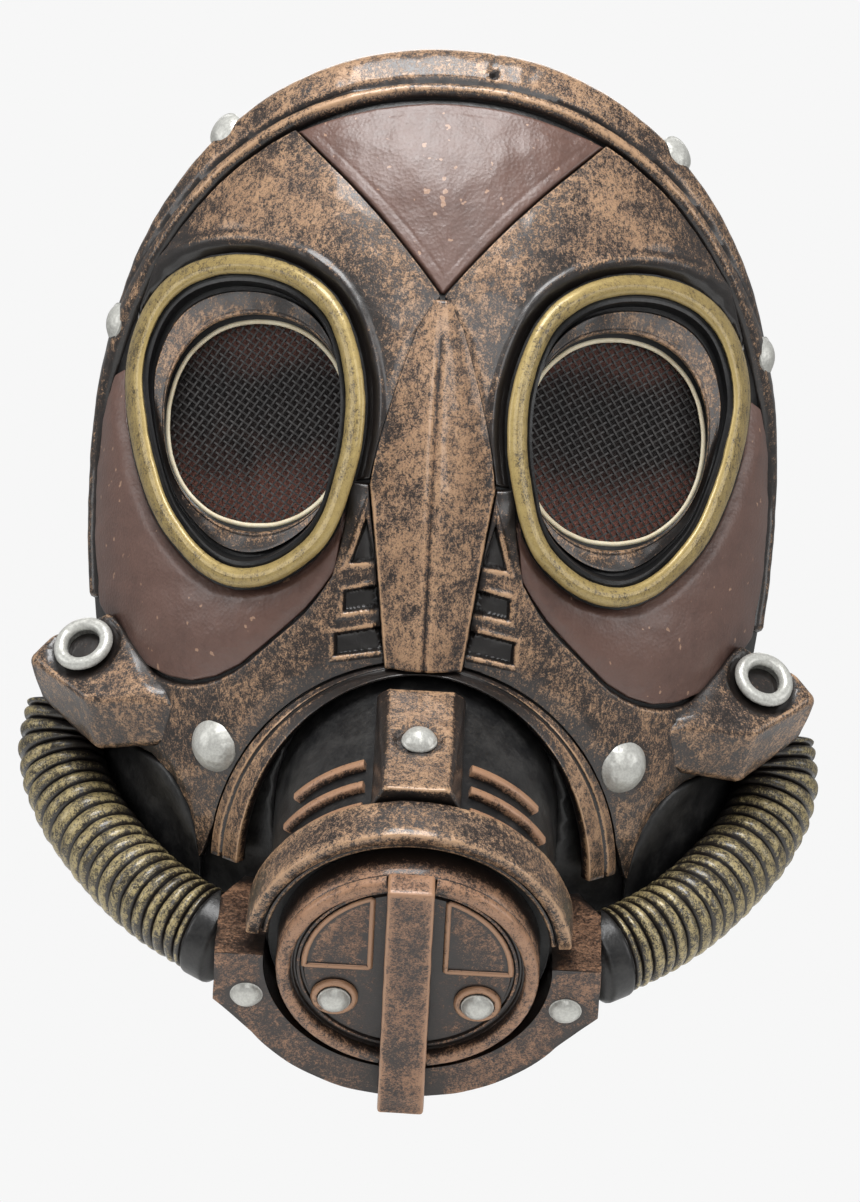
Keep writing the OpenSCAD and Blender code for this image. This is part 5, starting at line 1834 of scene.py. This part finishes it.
@dataclass
class HeadStrap:
    """The two halves of the elastic, their posts and the keeper."""

    shop: Workshop
    post_y: float = -18.0
    post_z: float = 45.6
    post_r: float = 3.5
    outer_r: float = 83.0
    inner_r: float = 81.25
    width: float = 20.0
    thick: float = 1.5
    loop_y: float = 30.0
    lap: float = 17.0

    def build(self) -> None:
        """Builds the strap's pieces on their own bodies."""
        for side, r in ((Side.LEFT, self.outer_r), (Side.RIGHT, self.inner_r)):
            bm = self.ribbon(r)
            self._map(bm)
            self.shop.piece(mirrored(bm, side), f"elastic_{side.tag}", Slot.ELASTIC, Body.STRAP,
                            replaces=[f"strap_{side.tag}"])
        posts = joined([mirrored(self.post(r), side) for side, r in ((Side.LEFT, self.outer_r),
                                                                     (Side.RIGHT, self.inner_r))])
        self.shop.piece(posts, "strap_studs", Slot.STEEL, replaces=["strap_posts"])
        self.shop.piece(self.keeper(), "strap_slider", Slot.PLASTIC, Body.KEEPER, replaces=["strap_keeper"])

    def ribbon(self, r: float) -> bmesh.types.BMesh:
        """One half: a round tab on its post, a straight side and a part of the loop."""
        turn = math.radians(90 + self.lap)
        straight = self.loop_y - self.post_y
        total = self.width / 2 + straight + turn * (r + self.thick / 2)

        def place(u: float, v: float) -> Vector:
            """Puts one point on the ribbon's four-sided section."""
            far = total * v - self.width / 2
            across, out = along([(-1, 0), (-1, 1), (1, 1), (1, 0), (-1, 0)], u) if u < 1 else Vector((-1, 0))
            half = self.width / 2
            if far < 0:
                half = math.sqrt(max(0.01, half * half - far * far))
            ribs = 0.09 * math.cos(math.tau * across * 4.5) * (1 if 0.3 < out < 0.7 else 0.5)
            reach = r + self.thick * mix(0.04, 0.96, out) + ribs * (2 * out - 1)
            height = self.post_z + half * across
            if far < straight:
                return Vector((reach, self.post_y + far, height))
            a = (far - straight) / (r + self.thick / 2)
            return Vector((reach * math.cos(a), self.loop_y + reach * math.sin(a), height))

        bm = grid(48, 200, place)
        bmesh.ops.holes_fill(bm, edges=[e for e in bm.edges if e.is_boundary], sides=0)
        bmesh.ops.recalc_face_normals(bm, faces=bm.faces)
        return bm

    def _map(self, bm: bmesh.types.BMesh) -> None:
        """Lays the strap's own map along its length, in millimetres."""
        layer = bm.loops.layers.uv.new("cloth")
        for face in bm.faces:
            for loop in face.loops:
                p = loop.vert.co
                length = p.y if p.y < self.loop_y else self.loop_y + self.outer_r * math.atan2(p.y - self.loop_y, p.x)
                loop[layer].uv = (length, p.z)

    def post(self, r: float) -> bmesh.types.BMesh:
        """A stud with a domed head inside the strap and a flange on the skin."""
        wide = self.post_r + 2.2
        wall = FORM.half_w * (1 - ((FORM.temple_y - self.post_y) / FORM.depth) ** 2 - (self.post_z / FORM.top) ** 2) ** (
            1 / FORM.square)
        end = min(wall - r - 2.5, 19)
        profile = [(0, -2.0), (wide - 1.2, -2.0), (wide - 0.3, -1.7), (wide, -1.0), (wide - 0.3, -0.3),
                   (self.post_r, -0.25), (self.post_r, 1.85), (wide - 0.4, 1.85), (wide, 2.3), (wide, end - 0.3),
                   (wide - 0.3, end), (0, end)]
        bm = spun(profile, 48)
        bmesh.ops.rotate(bm, cent=(0, 0, 0), matrix=Matrix.Rotation(math.pi / 2, 3, "Y"), verts=bm.verts)
        bmesh.ops.translate(bm, vec=(r, self.post_y, self.post_z), verts=bm.verts)
        return bm

    def keeper(self) -> bmesh.types.BMesh:
        """The flat loop round both layers, with rounded edges."""
        inside, outside, tall = self.inner_r - 0.25, self.outer_r + self.thick + 0.25, self.width / 2 + 0.32
        bm = bmesh.new()

        def place(u: float, v: float) -> Vector:
            """Puts one point on the loop: round its opening by u, round its section by v."""
            turn, a = math.radians(mix(85, 95, 0.5 + 0.5 * math.sin(math.tau * v))), math.tau * v
            thick = 0.8 + 0.8 * math.cos(a)
            ring = [(inside, -tall), (outside, -tall), (outside, tall), (inside, tall), (inside, -tall)]
            out = [(-1, -1), (1, -1), (1, 1), (-1, 1), (-1, -1)]
            (r, z), (dr, dz) = along(ring, u), along(out, u)
            reach = r + dr * thick
            return Vector((reach * math.cos(turn), self.loop_y + reach * math.sin(turn), self.post_z + z + dz * thick * 1.5))

        bm.free()
        bm = grid(64, 24, place)
        bmesh.ops.recalc_face_normals(bm, faces=bm.faces)
        return bm


# ---- Paint levels ------------------------------------------------------------------------


@dataclass
class Weathering:
    """Works out how open and how edged every painted point is, for the brushed finishes."""

    pieces: Sequence[bpy.types.Object]
    reach: float = 13.0
    lift: float = 0.35

    def rays(self) -> list[Vector]:
        """Directions spread over a half sphere round +Z."""
        found = [Vector((0, 0, 1))]
        for tilt, count in ((35, 5), (66, 8)):
            for k in range(count):
                a, t = math.tau * (k + 0.3 * tilt) / count, math.radians(tilt)
                found.append(Vector((math.sin(t) * math.cos(a), math.sin(t) * math.sin(a), math.cos(t))))
        return found

    def tree(self) -> BVHTree:
        """One search tree over every piece's own faces."""
        points: list[Vector] = []
        faces: list[tuple[int, ...]] = []
        for obj in self.pieces:
            first = len(points)
            points += [v.co for v in obj.data.vertices]
            faces += [tuple(first + k for k in f.vertices) for f in obj.data.polygons]
        return BVHTree.FromPolygons(points, faces)

    def apply(self) -> None:
        """Stores the levels on every piece's points."""
        tree, rays = self.tree(), self.rays()
        up = Vector((0, 0, 1))
        for obj in self.pieces:
            mesh = obj.data
            woven = obj.name.startswith(("mesh_weave", "elastic"))
            opened = [1.0] * len(mesh.vertices)
            if not woven:
                for i, vert in enumerate(mesh.vertices):
                    turn = up.rotation_difference(vert.normal)
                    start = vert.co + vert.normal * (self.lift * MM)
                    clear = 0.0
                    for ray in rays:
                        hit = tree.ray_cast(start, turn @ ray, self.reach * MM)[3]
                        clear += 1.0 if hit is None else hit / (self.reach * MM)
                    opened[i] = clear / len(rays)
            mesh.attributes.new("open", "FLOAT", "POINT").data.foreach_set("value", opened)
            mesh.attributes.new("edge", "FLOAT", "POINT").data.foreach_set("value", self.edges(mesh))
        LOG.info("weathering worked out on %d pieces", len(self.pieces))

    def edges(self, mesh: bpy.types.Mesh) -> list[float]:
        """How far each point stands out from its neighbours, from -1 to 1.

        Args:
            mesh: A piece's mesh.

        Returns:
            One value for each point, smoothed once.
        """
        count = len(mesh.vertices)
        bend, ties = [0.0] * count, [0] * count
        for edge in mesh.edges:
            a, b = (mesh.vertices[k] for k in edge.vertices)
            run = b.co - a.co
            square = max(run.length_squared, (0.5 * MM) ** 2)
            bend[a.index] -= run.dot(a.normal) / square
            bend[b.index] += run.dot(b.normal) / square
            ties[a.index] += 1
            ties[b.index] += 1
        raw = [clamp(MM * 2.2 * s / max(1, n), -1, 1) for s, n in zip(bend, ties)]
        soft, near = list(raw), [1] * count
        for edge in mesh.edges:
            a, b = edge.vertices
            soft[a] += raw[b]
            soft[b] += raw[a]
            near[a] += 1
            near[b] += 1
        return [s / n for s, n in zip(soft, near)]


# ---- Studio ------------------------------------------------------------------------------


@dataclass
class Studio:
    """The floor, soft lights, background and camera."""

    roll: float = 3.0
    away: float = 2500.0
    lens: float = 249.6
    floor_z: float = -285.0

    def build(self) -> None:
        """Builds everything round the mask."""
        self.camera()
        self.floor()
        self.world()
        self.light("key", (-120, -620, 1150), 700, 20.0)
        self.light("front", (250, -1500, 500), 700, 5.0)
        self.light("side_left", (1150, -350, 260), 600, 3.2)
        self.light("side_right", (-1150, -350, 260), 600, 3.2)
        self.light("back", (0, 1300, 700), 900, 6.0)

    def camera(self) -> None:
        """Sets the camera straight in front, rolled slightly."""
        data = bpy.data.cameras.new("camera")
        data.lens, data.sensor_width, data.sensor_fit = self.lens, 36.0, "AUTO"
        data.clip_start, data.clip_end = 0.05, 50.0
        camera = bpy.data.objects.new("camera", data)
        bpy.context.scene.collection.objects.link(camera)
        eye, target = Vector((0.9, -42.9 - self.away, 0)) * MM, Vector((0.96, -42.9, -33.35)) * MM
        ahead = (target - eye).normalized()
        lean = math.radians(self.roll)
        up = Vector((-math.sin(lean), 0, math.cos(lean)))
        right = ahead.cross(up).normalized()
        up = right.cross(ahead)
        camera.matrix_world = Matrix((
            (right.x, up.x, -ahead.x, eye.x), (right.y, up.y, -ahead.y, eye.y), (right.z, up.z, -ahead.z, eye.z),
            (0, 0, 0, 1)))
        bpy.context.scene.camera = camera

    def floor(self) -> None:
        """A pale disc well below the mask."""
        bm = bmesh.new()
        bmesh.ops.create_circle(bm, cap_ends=True, segments=96, radius=600)
        bmesh.ops.translate(bm, vec=(0, 0, self.floor_z), verts=bm.verts)
        bmesh.ops.scale(bm, vec=(MM, MM, MM), verts=bm.verts)
        mesh = bpy.data.meshes.new("floor")
        bm.to_mesh(mesh)
        bm.free()
        disc = bpy.data.objects.new("floor", mesh)
        bpy.context.scene.collection.objects.link(disc)
        p = Paint("floor_pale")
        tone = p.blend(p.noise(60, 3), (0.82, 0.82, 0.81), (0.86, 0.86, 0.85))
        mesh.materials.append(p.finish(base_color=tone, roughness=0.9))

    def world(self) -> None:
        """A near white background that lights the mask only weakly."""
        world = bpy.data.worlds.new("studio")
        world.use_nodes = True
        tree = world.node_tree
        tree.nodes.clear()
        out, seen = tree.nodes.new("ShaderNodeOutputWorld"), tree.nodes.new("ShaderNodeLightPath")
        pick = tree.nodes.new("ShaderNodeMixShader")
        for k, (tone, strength) in enumerate(((0.93, 0.30), (0.93, 1.0))):
            shade = tree.nodes.new("ShaderNodeBackground")
            shade.inputs[0].default_value = (tone, tone, tone, 1)
            shade.inputs[1].default_value = strength
            tree.links.new(shade.outputs[0], pick.inputs[k + 1])
        tree.links.new(seen.outputs["Is Camera Ray"], pick.inputs[0])
        tree.links.new(pick.outputs[0], out.inputs[0])
        bpy.context.scene.world = world
        bpy.context.scene.view_settings.view_transform = "Standard"

    def light(self, name: str, at: Sequence[float], size: float, power: float) -> None:
        """Adds a square soft light that faces the mask.

        Args:
            name: The light's name.
            at: Its place, in millimetres.
            size: Its side, in millimetres.
            power: Its power in watts.
        """
        data = bpy.data.lights.new(name, "AREA")
        data.shape, data.size, data.energy = "SQUARE", size * MM, power
        lamp = bpy.data.objects.new(name, data)
        lamp.location = Vector(at) * MM
        lamp.rotation_euler = (Vector((0, -40, -20)) * MM - lamp.location).to_track_quat("-Z", "Y").to_euler()
        bpy.context.scene.collection.objects.link(lamp)


def main() -> None:
    """Builds the studio, then the mask from its skin outwards."""
    logging.basicConfig(level=logging.INFO, format="%(name)s: %(message)s")
    Studio().build()
    shop = Workshop(Wardrobe())
    for maker in (Skin, Goggles, SnoutParts, EarParts, Rivets, HeadStrap):
        maker(shop).build()
    Weathering(shop.pieces).apply()


if __name__ == "__main__":
    main()
